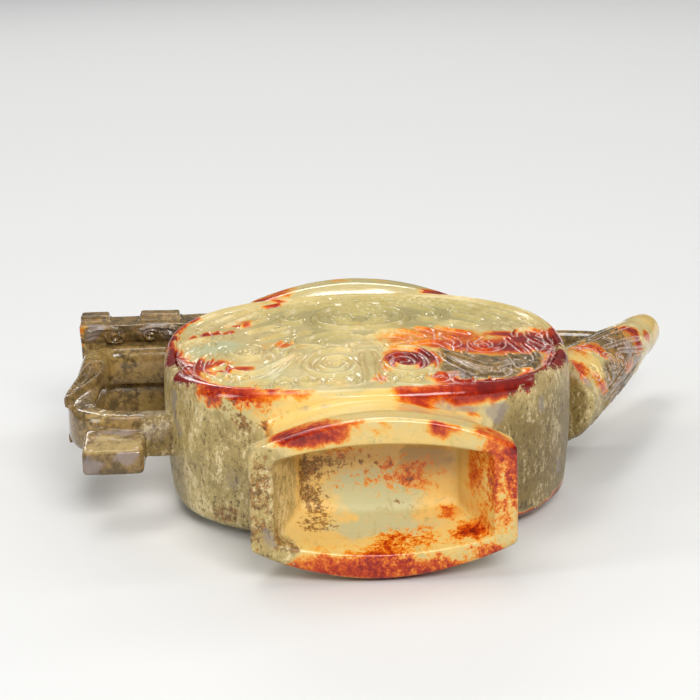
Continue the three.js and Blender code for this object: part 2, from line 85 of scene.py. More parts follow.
def pickOnly(piece):
    pickNothing()
    piece.select_set(True)
    bpy.context.view_layer.objects.active = piece


def smoothStep(low, high, value):
    share = max(0.0, min(1.0, (value - low) / (high - low)))
    return share * share * (3 - 2 * share)


# A tube with closed ends: a circle, extruded ring by ring along z, with a pole at each end.
def makeTube(name, around, levels):
    pickNothing()
    bpy.ops.mesh.primitive_circle_add(vertices=around, radius=1, fill_type="TRIFAN")
    tube = bpy.context.object
    tube.name = name
    bpy.ops.object.mode_set(mode="EDIT")
    bpy.ops.mesh.select_mode(type="EDGE")
    bpy.ops.mesh.select_all(action="DESELECT")
    bpy.ops.mesh.select_non_manifold()
    for _ in range(levels - 1):
        bpy.ops.mesh.extrude_region_move(TRANSFORM_OT_translate={"value": (0, 0, 1)})
    bpy.ops.mesh.edge_face_add()
    bpy.ops.mesh.poke()
    bpy.ops.object.mode_set(mode="OBJECT")
    return tube


# Moves each ring of a tube onto its section: ringPoint(level, turn) is in millimetres.
def formTube(tube, ringPoint):
    for vertex in tube.data.vertices:
        level = round(vertex.co.z)
        turn = math.atan2(vertex.co.y, vertex.co.x) % (2 * math.pi)
        if vertex.co.xy.length < 0.5:
            ends = [Vector(ringPoint(level, k * math.pi / 2)) for k in range(4)]
            spot = sum(ends, Vector()) / 4
        else:
            spot = Vector(ringPoint(level, turn))
        vertex.co = place(*spot)
    faceOut(tube)


def faceOut(piece):
    pickOnly(piece)
    bpy.ops.object.mode_set(mode="EDIT")
    bpy.ops.mesh.select_all(action="SELECT")
    bpy.ops.mesh.normals_make_consistent(inside=False)
    bpy.ops.object.mode_set(mode="OBJECT")


def applyModifier(piece, kind, **settings):
    pickOnly(piece)
    modifier = piece.modifiers.new(kind.title(), kind)
    for name, value in settings.items():
        setattr(modifier, name, value)
    bpy.ops.object.modifier_apply(modifier=modifier.name)


# The small unevenness of a hand-ground surface, the same in all the pieces, in millimetres.
handGround = {
    "slowSize": 14,
    "slow": 0.22,
    "quickSize": 4.5,
    "quick": 0.05,
    "under": 0.14,          # how far the surface keeps below the full shape
}


def workByHand(piece, keep):
    for vertex, normal in [(v, v.normal.copy()) for v in piece.data.vertices]:
        spot = fromMiddle(vertex.co)
        slow = noise.noise(spot / handGround["slowSize"])
        quick = noise.noise(spot / handGround["quickSize"])
        uneven = handGround["slow"] * slow + handGround["quick"] * quick
        vertex.co += normal * (uneven - handGround["under"]) * keep * mm


# A stroke is a run of points and a half width: from bandFrom it is a raised band, below that a cut line.
bandFrom = 0.5
strokeSearch = 2.6          # how far around a place strokes are looked for


# A smooth curve through points.
def throughPoints(points, spacing=0.3):
    spots = [Vector((*point, 0)) if len(point) == 2 else Vector(point) for point in points]
    spots = [spots[0] * 2 - spots[1]] + spots + [spots[-1] * 2 - spots[-2]]
    line = []
    for k in range(1, len(spots) - 2):
        a, b, c, d = spots[k - 1:k + 3]
        count = max(2, int((c - b).length / spacing))
        for step in range(count):
            t = step / count
            curve = (2 * a - 5 * b + 4 * c - d) * t ** 2 + (3 * b - a - 3 * c + d) * t ** 3
            line.append(0.5 * (2 * b + (c - a) * t + curve))
    return line + [spots[-2]]


def spiral(x, y, outer, inner, turns, first):
    count = int(turns * 14)
    points = []
    for step in range(count + 1):
        turn = math.radians(first) + turns * 2 * math.pi * step / count
        radius = outer + (inner - outer) * (step / count) ** 0.85
        points.append((x + radius * math.cos(turn), y + radius * math.sin(turn)))
    return points


class Strokes:
    def __init__(self, strokes):
        self.spots = []
        for points, half in strokes:
            line = throughPoints(points)
            for step, spot in enumerate(line):
                share = step / (len(line) - 1)
                ends = smoothStep(0, 0.1, share) * (1 - smoothStep(0.9, 1, share))
                self.spots.append((spot, half * (0.5 + 0.5 * ends), half >= bandFrom))
        self.tree = KDTree(len(self.spots))
        for index, (spot, _, _) in enumerate(self.spots):
            self.tree.insert(spot, index)
        self.tree.balance()

    # How far a place stands on a raised band and how deep it lies in a cut line, both from 0 to 1.
    def at(self, spot):
        edge, line = 9.0, 9.0
        for _, index, distance in self.tree.find_range(spot, strokeSearch):
            _, half, raised = self.spots[index]
            if raised:
                edge = min(edge, distance - half)
            else:
                line = min(line, distance / (half + 0.2))
        band = 1 - smoothStep(-0.5, 0.0, edge)
        cut = max(0.0, 1 - abs(edge - 0.25) / 0.42, 1 - line)
        return band, cut


# Carves strokes into a finished piece, along its normals, and notes where the cut lines are.
# The last argument is how strongly the cut lines are marked in the colour: pale chalk dust with a painted
# highlight on dark stone, painted shade on pale stone.
def carveInto(piece, strokes, rise, depth, lineMark=1.0):
    work = Strokes(strokes)
    if "cutLine" not in piece.data.attributes:
        piece.data.attributes.new("cutLine", "FLOAT", "POINT")
    cuts = piece.data.attributes["cutLine"].data
    for vertex, normal in [(v, v.normal.copy()) for v in piece.data.vertices]:
        band, cut = work.at(fromMiddle(vertex.co))
        if band or cut:
            vertex.co += normal * (band * rise - cut * depth) * mm
            cuts[vertex.index].value = cut * lineMark


# The body's wall with its rounded rims, from the front border over the waist to the back border.
body = {
    "halfWidth": 60.5,
    "halfLength": 60.0,
    "planPower": 2.7,
    "rimHalf": 20.3,        # half thickness at the rim's corners
    "crownAcross": 3.0,
    "crownAlong": 1.6,
    "rimRound": 3.0,
    "belly": 0.4,
    "backLean": 1.2,
    "groove": 3.8,          # the border line, in from the outline
    "grooveRows": [(-0.35, 0.1), (0, 0.55), (0.4, 1.6), (1.2, 3.2)],     # in from the groove, down
    "around": 600,
    "rows": 40,
    "rimRows": 8,
}


def planRadius(turn):
    across = abs(math.cos(turn) / body["halfWidth"]) ** body["planPower"]
    along = abs(math.sin(turn) / body["halfLength"]) ** body["planPower"]
    return (across + along) ** (-1 / body["planPower"])


def crownAt(x, y):
    across = body["crownAcross"] * (1 - (x / body["halfWidth"]) ** 2)
    along = body["crownAlong"] * (1 - (y / body["halfLength"]) ** 2)
    return body["rimHalf"] - body["crownAlong"] + across + along


# How far up the end wall stands at x, along y.
def endWallAt(x):
    share = min(1.0, abs(x) / body["halfWidth"]) ** body["planPower"]
    return body["halfLength"] * (1 - share) ** (1 / body["planPower"])


# Half the wall's profile: rows of inset, share of the wall's height and drop below the crown.
def wallProfile(side):
    lean = body["backLean"] if side < 0 else 0
    rows = []
    for step in range(body["rows"] + 1):
        share = step / body["rows"]
        rows.append((body["belly"] * share ** 2 + lean * share, share, None))
    foot = rows[-1][0]
    for step in range(1, body["rimRows"] + 1):
        turn = math.pi / 2 * step / body["rimRows"]
        inset = foot + body["rimRound"] * (1 - math.cos(turn))
        rows.append((inset, 1, body["rimRound"] * (1 - math.sin(turn))))
    groove = max(body["groove"], rows[-1][0] + 0.5)
    return rows + [(groove + inset, 1, drop) for inset, drop in body["grooveRows"]]


def makeWall():
    front = wallProfile(1)
    back = wallProfile(-1)
    rows = [(-1, row) for row in reversed(back)] + [(1, row) for row in front[1:]]
    wall = makeTube("jadeWall", body["around"], len(rows))

    def ringPoint(level, turn):
        side, (inset, share, drop) = rows[level]
        radius = planRadius(turn) - inset
        x, y = radius * math.cos(turn), radius * math.sin(turn)
        if drop is None:
            return x, y, side * share * (crownAt(x, y) - body["rimRound"])
        return x, y, side * (crownAt(x, y) - drop)

    formTube(wall, ringPoint)
    return wall


# The hollow foot and the mouth share one kind of flare.
foot = {
    "side": -1,
    "reach": 28.8,
    "lipLength": 8.5,
    "lip": (35.5, 13.5, 22.2),          # half width, half height at the sides, half height at the middle
    "neck": (29.4, 11.6, 18.8),
    "opening": (28.8, 11.2, 15.0),
    "floor": (21.8, 8.4, 9.8),
    "depth": 20.0,
    "floorRound": 2.4,
    "corner": 1.5,
    "bowl": False,
}
mouth = {
    "side": 1,
    "reach": 28.4,
    "lipLength": 8.0,
    "lip": (35.0, 12.8, 20.2),
    "neck": (29.0, 11.2, 17.8),
    "opening": (28.6, 9.6, 14.6),
    "floor": (17.0, 6.0, 8.4),
    "depth": 44.0,
    "floorRound": 2.0,
    "corner": 1.5,
    "bowl": True,
}
flare = {
    "power": 2.2,           # how late the neck flares
    "outerRound": 1.1,      # rounding of the lip's outer and inner edge
    "innerRound": 0.9,
    "fillet": [(-0.5, 1.5), (0.0, 1.0), (0.4, 0.6), (1.0, 0.25), (2.0, 0.05)],    # out, wider than the neck
    "neckStart": 2.6,
    "sunk": 4.0,            # how far the neck reaches into the wall
    "around": 96,
}


# A flat-sided outline with arched top and bottom and rounded corners, as a list of x and z.
def lensOutline(section, corner):
    halfWide, sideHalf, centreHalf = section

    def arch(x):
        return sideHalf + (centreHalf - sideHalf) * (1 - (x / halfWide) ** 2)

    quarter = []
    for step in range(6):
        quarter.append((halfWide, (sideHalf - corner) * step / 6))
    for step in range(6):
        t = step / 6
        x = halfWide * (1 - t) ** 2 + 2 * t * (1 - t) * halfWide + t ** 2 * (halfWide - corner)
        z = (sideHalf - corner) * (1 - t) ** 2 + 2 * t * (1 - t) * sideHalf + t ** 2 * arch(halfWide - corner)
        quarter.append((x, z))
    for step in range(12):
        x = (halfWide - corner) * (1 - step / 12)
        quarter.append((x, arch(x)))
    upper = quarter + [(0, centreHalf)] + [(-x, z) for x, z in reversed(quarter[1:])]
    return upper + [(-x, -z) for x, z in upper]


def blend(first, second, share):
    return tuple(a + (b - a) * share for a, b in zip(first, second))


def grown(section, by):
    return tuple(half + by for half in section)


# Rows of a flare: the distance out from the body's end wall, the section, and how far it follows that wall.
def flareRows(form):
    rows = [(-flare["sunk"], grown(form["neck"], 0.4), 1.0)]
    rows += [(out, grown(form["neck"], grow), 1.0) for out, grow in flare["fillet"]]
    outerRound, innerRound = flare["outerRound"], flare["innerRound"]
    neckLength = form["reach"] - form["lipLength"]
    for step in range(1, 15):
        share = step / 14
        out = flare["neckStart"] + (neckLength - flare["neckStart"]) * share
        section = blend(form["neck"], form["lip"], (out / neckLength) ** flare["power"])
        rows.append((out, section, max(0.0, 1 - 3 * share)))
    for step in range(1, 6):
        rows.append((neckLength + (form["lipLength"] - outerRound) * step / 5, form["lip"], 0.0))
    for step in range(1, 5):
        turn = math.pi / 2 * step / 4
        section = grown(form["lip"], -outerRound * (1 - math.cos(turn)))
        rows.append((form["reach"] - outerRound * (1 - math.sin(turn)), section, 0.0))
    outer = grown(form["lip"], -outerRound)
    inner = grown(form["opening"], innerRound)
    for step in range(1, 4):
        rows.append((form["reach"], blend(outer, inner, step / 3), 0.0))
    for step in range(1, 5):
        turn = math.pi / 2 * step / 4
        section = grown(form["opening"], innerRound * (1 - math.sin(turn)))
        rows.append((form["reach"] - innerRound * (1 - math.cos(turn)), section, 0.0))
    return rows


# Rows of the opening, from its edge in: the foot's tapers, the mouth's closes like a bowl onto its throat.
def recessRows(form):
    rows = []
    wallDepth = form["depth"] - form["floorRound"]
    for step in range(1, 15):
        share = step / 14
        out = form["reach"] - flare["innerRound"] - (wallDepth - flare["innerRound"]) * share
        part = math.sin(min(1.0, share * 1.9) * math.pi / 2) if form["bowl"] else share
        rows.append((out, blend(form["opening"], form["floor"], part), 0.0))
    for step in range(1, 5):
        turn = math.pi / 2 * step / 4
        out = form["reach"] - wallDepth - form["floorRound"] * math.sin(turn)
        rows.append((out, grown(form["floor"], -form["floorRound"] * (1 - math.cos(turn))), 0.0))
    rows.append((form["reach"] - form["depth"], tuple(half * 0.4 for half in form["floor"]), 0.0))
    return rows


def makeFlare(name, form):
    rows = flareRows(form) + recessRows(form)
    piece = makeTube(name, flare["around"], len(rows))
    outlines = [lensOutline(section, min(form["corner"], section[1] * 0.4)) for _, section, _ in rows]

    def ringPoint(level, turn):
        out, _, follow = rows[level]
        x, z = outlines[level][round(turn / (2 * math.pi) * flare["around"]) % flare["around"]]
        wallDrop = (body["halfLength"] - endWallAt(x)) * follow
        return x, form["side"] * (body["halfLength"] + out - wallDrop), z

    formTube(piece, ringPoint)
    return piece


# The spout, with its bore, and the strap that ties it to the shoulder.
spout = {
    "root": Vector((56.0, -4.0, 0.0)),
    "tip": Vector((99.1, 80.0, 0.0)),
    "bow": 0.4,
    "rootRadius": 13.4,
    "tipRadius": 6.3,
    "taperPower": 1.25,
    "lipSwell": 0.35,
    "bore": 3.6,
    "boreDepth": 26.0,
    "around": 150,
    "steps": 230,
    "endSteps": 8,
    "rootRound": 3.0,
    "ground": 0.4,          # how far the ground of the carving lies below the outline
    "rise": 0.4,
    "cut": 0.45,
}
spoutAlong = (spout["tip"] - spout["root"]).normalized()
spoutAcross = Vector((spoutAlong.y, -spoutAlong.x, 0))
spoutLength = (spout["tip"] - spout["root"]).length


def spoutCentre(share):
    bow = spout["bow"] * math.sin(math.pi * share)
    return spout["root"].lerp(spout["tip"], share) + spoutAcross * bow


def spoutRadius(share):
    swell = spout["lipSwell"] * math.sin(math.pi * max(0.0, 6 * share - 5))
    taper = (spout["tipRadius"] - spout["rootRadius"]) * share ** spout["taperPower"]
    return spout["rootRadius"] + taper + swell


# Carving on the spout: millimetres from the root, and the angle from the outer edge towards the top.
spoutBands = [
    ([(34, 1.08), (50, 0.92), (68.4, 0.58)], 0.6),
    ([(42, 0.74), (58, 0.35), (69.4, 0.05)], 0.6),
    ([(9, -0.20), (30, -0.21), (64, -0.21)], 0.55),
    ([(7, -0.46), (30, -0.47), (58, -0.50)], 0.55),
    ([(8, 0.03), (25, 0.10), (43, 0.24)], 0.55),
    ([(22, 1.62), (45, 1.55), (72, 1.30)], 0.6),
    ([(18, 2.05), (44, 2.05), (70, 1.90)], 0.6),
]
spoutCurls = [
    # from the root, angle, reach, turns, first angle
    (29.5, 0.66, 4.4, 1.6, 200), (38.5, 0.40, 3.2, 1.5, 20), (20.0, 0.42, 3.6, 1.5, 140),
    (24.0, 1.28, 4.0, 1.5, 250), (46.0, 1.28, 3.2, 1.5, 30), (52.0, 0.62, 2.4, 1.2, 200),
    (12.0, 0.62, 3.0, 1.3, 30), (36.0, 1.82, 3.4, 1.5, 300),
]


def spoutSpot(out, turn):
    share = out / spoutLength
    radius = spoutRadius(share)
    side = spoutAcross * math.cos(turn) + Vector((0, 0, math.sin(turn)))
    return spoutCentre(share) + side * radius


def spoutStrokes():
    strokes = []
    for points, half in spoutBands:
        strokes.append(([spoutSpot(*point) for point in points], half))
    for out, angle, reach, turns, first in spoutCurls:
        radius = spoutRadius(out / spoutLength)
        curl = spiral(0, 0, reach, reach * 0.18, turns, first)
        strokes.append(([spoutSpot(out + x, angle + y / radius) for x, y in curl], 0.52))
    flipped = []
    for points, half in strokes:
        turned = [Vector((p.x, p.y, -p.z)) for p in points]
        if max(p.z for p in turned) < -2:
            flipped.append((turned, half))
    return strokes + flipped


def makeSpout():
    ends, ground = spout["endSteps"], spout["ground"]
    rows = [("root", step / ends) for step in range(ends)]
    rows += [("out", step / spout["steps"]) for step in range(spout["steps"] + 1)]
    rows += [("end", step / ends) for step in range(1, ends + 1)]
    rows += [("bore", step / ends) for step in range(1, ends + 1)]
    endRound = spout["tipRadius"] - spout["bore"]
    tube = makeTube("jadeSpout", spout["around"], len(rows))

    def ringPoint(level, turn):
        kind, share = rows[level]
        if kind == "root":
            arc = share * math.pi / 2
            centre = spoutCentre(0) + spoutAlong * spout["rootRound"] * (1 - math.cos(arc))
            radius = spoutRadius(0) - ground - spout["rootRound"] * (1 - math.sin(arc))
        elif kind == "out":
            centre = spoutCentre(share) + spoutAlong * spout["rootRound"] * (1 - share)
            radius = spoutRadius(share) - ground
        elif kind == "end":
            arc = share * math.pi / 2
            centre = spout["tip"] + spoutAlong * endRound * math.sin(arc)
            radius = spout["tipRadius"] - ground * (1 - share) - endRound * (1 - math.cos(arc))
        else:
            centre = spout["tip"] + spoutAlong * (endRound - spout["boreDepth"] * share)
            radius = spout["bore"]
        return centre + spoutAcross * radius * math.cos(turn) + Vector((0, 0, radius * math.sin(turn)))

    formTube(tube, ringPoint)
    carveInto(tube, spoutStrokes(), spout["rise"], spout["cut"])
    return tube


strap = {
    "up": 49.0,
    "halfHeight": 9.4,
    "thickness": 4.4,
    "arch": 1.6,
    "start": 34.9,
    "end": 83.2,
    "around": 48,
    "steps": 24,
}


def makeStrap():
    piece = makeTube("jadeStrap", strap["around"], strap["steps"] + 1)

    def ringPoint(level, turn):
        share = level / strap["steps"]
        x = strap["start"] + (strap["end"] - strap["start"]) * share
        half = strap["halfHeight"] - strap["arch"] * (2 * share - 1) ** 2
        return x, strap["up"] + strap["thickness"] / 2 * math.cos(turn), half * math.sin(turn)

    formTube(piece, ringPoint)
    return piece


print("body, foot, mouth and spout")
wall = makeWall()
footPiece = makeFlare("jadeFoot", foot)
mouthPiece = makeFlare("jadeMouth", mouth)
spoutPiece = makeSpout()
strapPiece = makeStrap()

# The handle is one carved piece: its parts are joined, fused and smoothed, then carved.
handle = {
    "voxel": 0.42,          # grain of the fused mesh
    "half": 6.4,            # half thickness, and how far its middle lies above the body's
    "lift": 0.8,
    "top": 59.6,
    "bottom": -28.2,
    "outer": -88.9,
    "gripWidth": 8.0,
    "gripSwell": 1.6,
    "upperWidth": 8.6,
    "lowerWidth": 10.0,
    "upperEnd": -36,        # where the arms end inside the body
    "lowerEnd": -50,
    "upperCorner": 8,
    "lowerCorner": 19,
    "roundness": (0.74, 0.52),
    "tail": ((-82.9, -41.0, -6.2), (-65.1, -26.0, 1.4)),
    "tailRound": 1.4,
    "heel": ((-66.0, -28.7, -5.0), (-54.0, -24.0, 4.4)),
    "heelRound": 1.0,
    "rise": 1.0,
    "cut": 0.45,
    "lineMark": 0.5,
}


# A tube with a rounded oblong section, swept along a flat path of x, y and width.
# The two powers are for its first and its last part: 1 makes an oval, less an oblong.
def makeSweep(name, path, low, high, powers, around=40):
    piece = makeTube(name, around, len(path))
    halfHeight = (high - low) / 2

    def ringPoint(level, turn):
        before = Vector(path[max(level - 1, 0)][:2])
        after = Vector(path[min(level + 1, len(path) - 1)][:2])
        along = (after - before).normalized()
        across = Vector((along.y, -along.x))
        x, y, width = path[level]
        c, s = math.cos(turn), math.sin(turn)
        power = powers[0] + (powers[1] - powers[0]) * smoothStep(0.25, 0.5, level / (len(path) - 1))
        c = math.copysign(abs(c) ** power, c)
        s = math.copysign(abs(s) ** power, s)
        return x + across.x * width / 2 * c, y + across.y * width / 2 * c, low + halfHeight * (1 + s)

    formTube(piece, ringPoint)
    return piece


# A path of straight runs and round corners through corner points of x, y, width and corner radius.
def roundedPath(corners, spacing=0.8):
    path = []
    for k, (x, y, width, radius) in enumerate(corners):
        here = Vector((x, y))
        if radius == 0:
            path.append((x, y, width))
            continue
        back = (Vector(corners[k - 1][:2]) - here).normalized() * radius
        on = (Vector(corners[k + 1][:2]) - here).normalized() * radius
        for step in range(13):
            t = step / 12
            spot = (here + back) * (1 - t) ** 2 + here * 2 * t * (1 - t) + (here + on) * t ** 2
            near = corners[k - 1][2] if t < 0.5 else corners[k + 1][2]
            path.append((spot.x, spot.y, width + (near - width) * abs(2 * t - 1) * 0.5))
    filled = []
    for first, second in zip(path, path[1:]):
        length = (Vector(second[:2]) - Vector(first[:2])).length
        count = max(1, int(length / spacing))
        filled += [blend(first, second, step / count) for step in range(count)]
    return filled + [path[-1]]


# A block with rounded edges between two corners.
def makeBlock(name, low, high, rounding, segments=3):
    pickNothing()
    middle = (Vector(low) + Vector(high)) / 2
    bpy.ops.mesh.primitive_cube_add(size=1, location=place(*middle), scale=(Vector(high) - Vector(low)) * mm)
    block = bpy.context.object
    block.name = name
    bpy.ops.object.transform_apply(location=True, rotation=True, scale=True)
    bpy.ops.object.mode_set(mode="EDIT")
    bpy.ops.mesh.select_all(action="SELECT")
    bpy.ops.mesh.bevel(offset=rounding * mm, segments=segments, affect="EDGES")
    bpy.ops.object.mode_set(mode="OBJECT")
    return block


crest = {
    "left": -90.1,
    "right": -24.0,
    "front": 59.9,
    "rear": 69.3,
    "high": 14.0,
    "low": -16.6,
    "sweep": 4.0,
    "steps": 59,
    "hooks": [(0, 9.4), (19.4, 13.2)],      # from the crest's left end, and width
    "hookFront": 62.9,
    "hookRise": 1.8,
    "hookSunk": 1,
    "hookRound": 0.6,
}


# The swept front of the crest, from its edge (0) to the arm (1), above or below the arm.
def crestFront(share, side):
    edge = crest["high"] if side > 0 else crest["low"]
    arm = handle["lift"] + side * handle["half"]
    front, sweep = crest["front"], crest["sweep"]
    bend = (1 - share) ** 2, 2 * share * (1 - share), share ** 2
    y = bend[0] * (front - sweep) + bend[1] * (front - sweep / 2) + bend[2] * front
    z = bend[0] * edge + bend[1] * (arm + side) + bend[2] * arm
    return y, z


# The crest's section in y and z: rear, top, swept front, arm, swept front, underside.
def crestOutline():
    rear, high, low = crest["rear"], crest["high"], crest["low"]
    top = crestFront(0, 1)
    under = crestFront(0, -1)
    outline = [(rear, low + (high - low) * step / 20) for step in range(20)]
    outline += [blend((rear, high), top, step / 12) for step in range(12)]
    outline += [crestFront(step / 12, 1) for step in range(13)]
    armTop, armLow = crestFront(1, 1), crestFront(1, -1)
    outline += [blend(armTop, armLow, step / 8) for step in range(1, 8)]
    outline += [crestFront(1 - step / 12, -1) for step in range(13)]
    outline += [blend(under, (rear, low), step / 12) for step in range(1, 12)]
    return outline


def makeCrest():
    outline = crestOutline()
    piece = makeTube("crestBlock", len(outline), crest["steps"] + 1)

    def ringPoint(level, turn):
        y, z = outline[round(turn / (2 * math.pi) * len(outline)) % len(outline)]
        return crest["left"] + (crest["right"] - crest["left"]) * level / crest["steps"], y, z

    formTube(piece, ringPoint)
    return piece


# Carving on the handle: lines on the lower arm and the tail, scrolls and bands on the front of the crest.
armLines = [
    [(-72.6, -16.2), (-70.6, -19.4), (-70.1, -24), (-70.8, -27)],
    [(-74.3, -26.8), (-76.6, -24.4), (-78, -21.4), (-76.8, -18.4), (-74.2, -16.6)],
    [(-81.4, -12), (-80, -13.3), (-81.4, -14.6), (-82.8, -13.3), (-81.4, -12)],
    [(-66, -19.6), (-62.5, -20.6), (-62, -25)],
    [(-85.4, -8), (-86.6, -14), (-84.4, -20.4), (-80, -24.4)],
]
tailLine = [
    (-80.6, -39.4), (-81.2, -33), (-79.4, -30), (-70, -29.6), (-67, -31.6), (-66.8, -37), (-68.6, -39.6),
]
crestScrolls = [
    # x, share of the front from its edge, reach, turns, first angle
    (-78.3, 0.5, 3.4, 1.6, 150), (-67.0, 0.42, 2.7, 1.5, 20), (-54, 0.5, 3.0, 1.5, 150),
]
crestBands = [
    # points of x and share of the front, and half width
    ([(-71, 0.2), (-67, 0.08), (-61, 0.1), (-57, 0.24), (-60, 0.36), (-64, 0.3)], 0.55),
    ([(-87.5, 0.2), (-84, 0.10), (-80, 0.10), (-76.5, 0.2)], 0.55),
    ([(-88, 0.6), (-85.5, 0.45), (-83, 0.5)], 0.35),
]


def handleStrokes():
    flat = handle["lift"] + handle["half"]
    strokes = [([(x, y, flat) for x, y in line], 0.3) for line in armLines]
    strokes.append(([(x, y, 1.4 + max(0, y + 33) * 0.3) for x, y in tailLine], 0.3))
    for x, share, reach, turns, first in crestScrolls:
        points = spiral(x, 0, reach, 0.5, turns, first)
        swept = [(px, *crestFront(max(0.02, min(0.98, share - py / 9)), 1)) for px, py in points]
        strokes.append((swept, 0.6))
    for line, half in crestBands:
        strokes.append(([(x, *crestFront(share, 1)) for x, share in line], half))
    return strokes


# The long curl that lies on the grip: a sunk leaf, a raised rim around it and a spine.
curl = {
    "leaf": [(-89.0, -11.6, 1.6), (-88.2, -6, 2.8), (-86.6, 2, 4.4), (-84.8, 11, 5.6), (-83.4, 20, 6.2),
             (-83.0, 27, 5.2), (-82.8, 31, 2.2)],
    "leafRise": 0.2,
    "rim": [(-89.1, -11.4), (-88.8, -5), (-87.9, 3), (-87.0, 12), (-86.3, 20), (-85.3, 27), (-83.2, 30.6),
            (-81.0, 28.6), (-80.2, 23), (-80.9, 16), (-82.4, 9), (-85.2, 0.5), (-88.3, -9.6)],
    "rimWidth": 1.7,
    "rise": 2.3,
    "spine": [(-84.0, 26.5), (-83.2, 20), (-84.6, 11), (-86.4, 3), (-88.4, -5)],
    "spineWidth": 1.1,
    "spineDrop": 0.7,       # how far the spine stays below the rim
    "backUp": 9.0,          # the back curl lies further up the grip
    "spacing": 0.8,
    "roundness": (0.8, 0.8),
    "around": 20,
}


def makeCurl(side):
    flat = handle["lift"] + side * handle["half"]
    up = 0 if side > 0 else curl["backUp"]

    # Points of x and y take the given width; points with a width of their own keep it.
    def raised(name, points, width, below, above):
        heights = sorted((flat - side * below, flat + side * above))
        path = [(spot.x, spot.y + up, width or spot.z) for spot in throughPoints(points, curl["spacing"])]
        return makeSweep(name, path, *heights, curl["roundness"], curl["around"])

    return [
        raised("curlLeaf", curl["leaf"], None, 1.5, curl["leafRise"]),
        raised("curlRim", curl["rim"], curl["rimWidth"], 1.0, curl["rise"]),
        raised("curlSpine", curl["spine"], curl["spineWidth"], 1.0, curl["rise"] - curl["spineDrop"]),
    ]


def makeHandle():
    low, high = handle["lift"] - handle["half"], handle["lift"] + handle["half"]
    upper = handle["top"] - handle["upperWidth"] / 2
    lower = handle["bottom"] + handle["lowerWidth"] / 2
    grip = handle["outer"] + handle["gripWidth"] / 2
    corners = [
        (handle["upperEnd"], upper, handle["upperWidth"], 0),
        (grip, upper, handle["gripWidth"], handle["upperCorner"]),
        (grip, lower, handle["gripWidth"] + handle["gripSwell"], handle["lowerCorner"]),
        (handle["lowerEnd"], lower, handle["lowerWidth"], 0),
    ]
    parts = [makeSweep("loop", roundedPath(corners), low, high, handle["roundness"]), makeCrest()]
    top, under = crest["high"], crest["low"]
    for start, width in crest["hooks"]:
        left = crest["left"] + start
        for first, last in ((top - crest["hookSunk"], top + crest["hookRise"]),
                            (under - crest["hookRise"], under + crest["hookSunk"])):
            corner, across = (left, crest["hookFront"], first), (left + width, crest["rear"], last)
            parts.append(makeBlock("hook", corner, across, crest["hookRound"]))
    tail = makeBlock("tail", *handle["tail"], handle["tailRound"], 4)
    for vertex in tail.data.vertices:  # its top slopes up towards the arm
        spot = fromMiddle(vertex.co)
        vertex.co.z += max(0, spot.y + 35) * 0.28 * smoothStep(-3, 1, spot.z) * mm
    parts.append(tail)
    parts.append(makeBlock("heel", *handle["heel"], handle["heelRound"]))
    parts += makeCurl(1) + makeCurl(-1)
    pickNothing()
    for part in parts:
        part.select_set(True)
    bpy.context.view_layer.objects.active = parts[0]
    bpy.ops.object.join()
    piece = bpy.context.object
    piece.name = "jadeHandle"
    applyModifier(piece, "REMESH", mode="VOXEL", voxel_size=handle["voxel"] * mm)
    applyModifier(piece, "SMOOTH", factor=0.5, iterations=4)
    carveInto(piece, handleStrokes(), handle["rise"], handle["cut"], handle["lineMark"])
    applyModifier(piece, "SMOOTH", factor=0.3, iterations=1)
    return piece


print("handle")
handlePiece = makeHandle()

# The two carved faces.
carving = {
    "frontCells": 306,
    "backCells": 240,
    "inset": 3.5,
    "drop": 0.95,           # the ground of the carving, below the crown
    "rise": 0.8,            # a raised band, above the ground
    "cut": 0.4,             # a cut line, below what it is cut into
    "rimRise": 0.9,         # the raised border, as a share of a band
    "nearFiner": 0.12,      # how much finer the mesh is in the near half
    "tooling": 0.06,        # small unevenness left by the tools
    "toolingSize": 2.6,
    "thickness": 3.5,
}

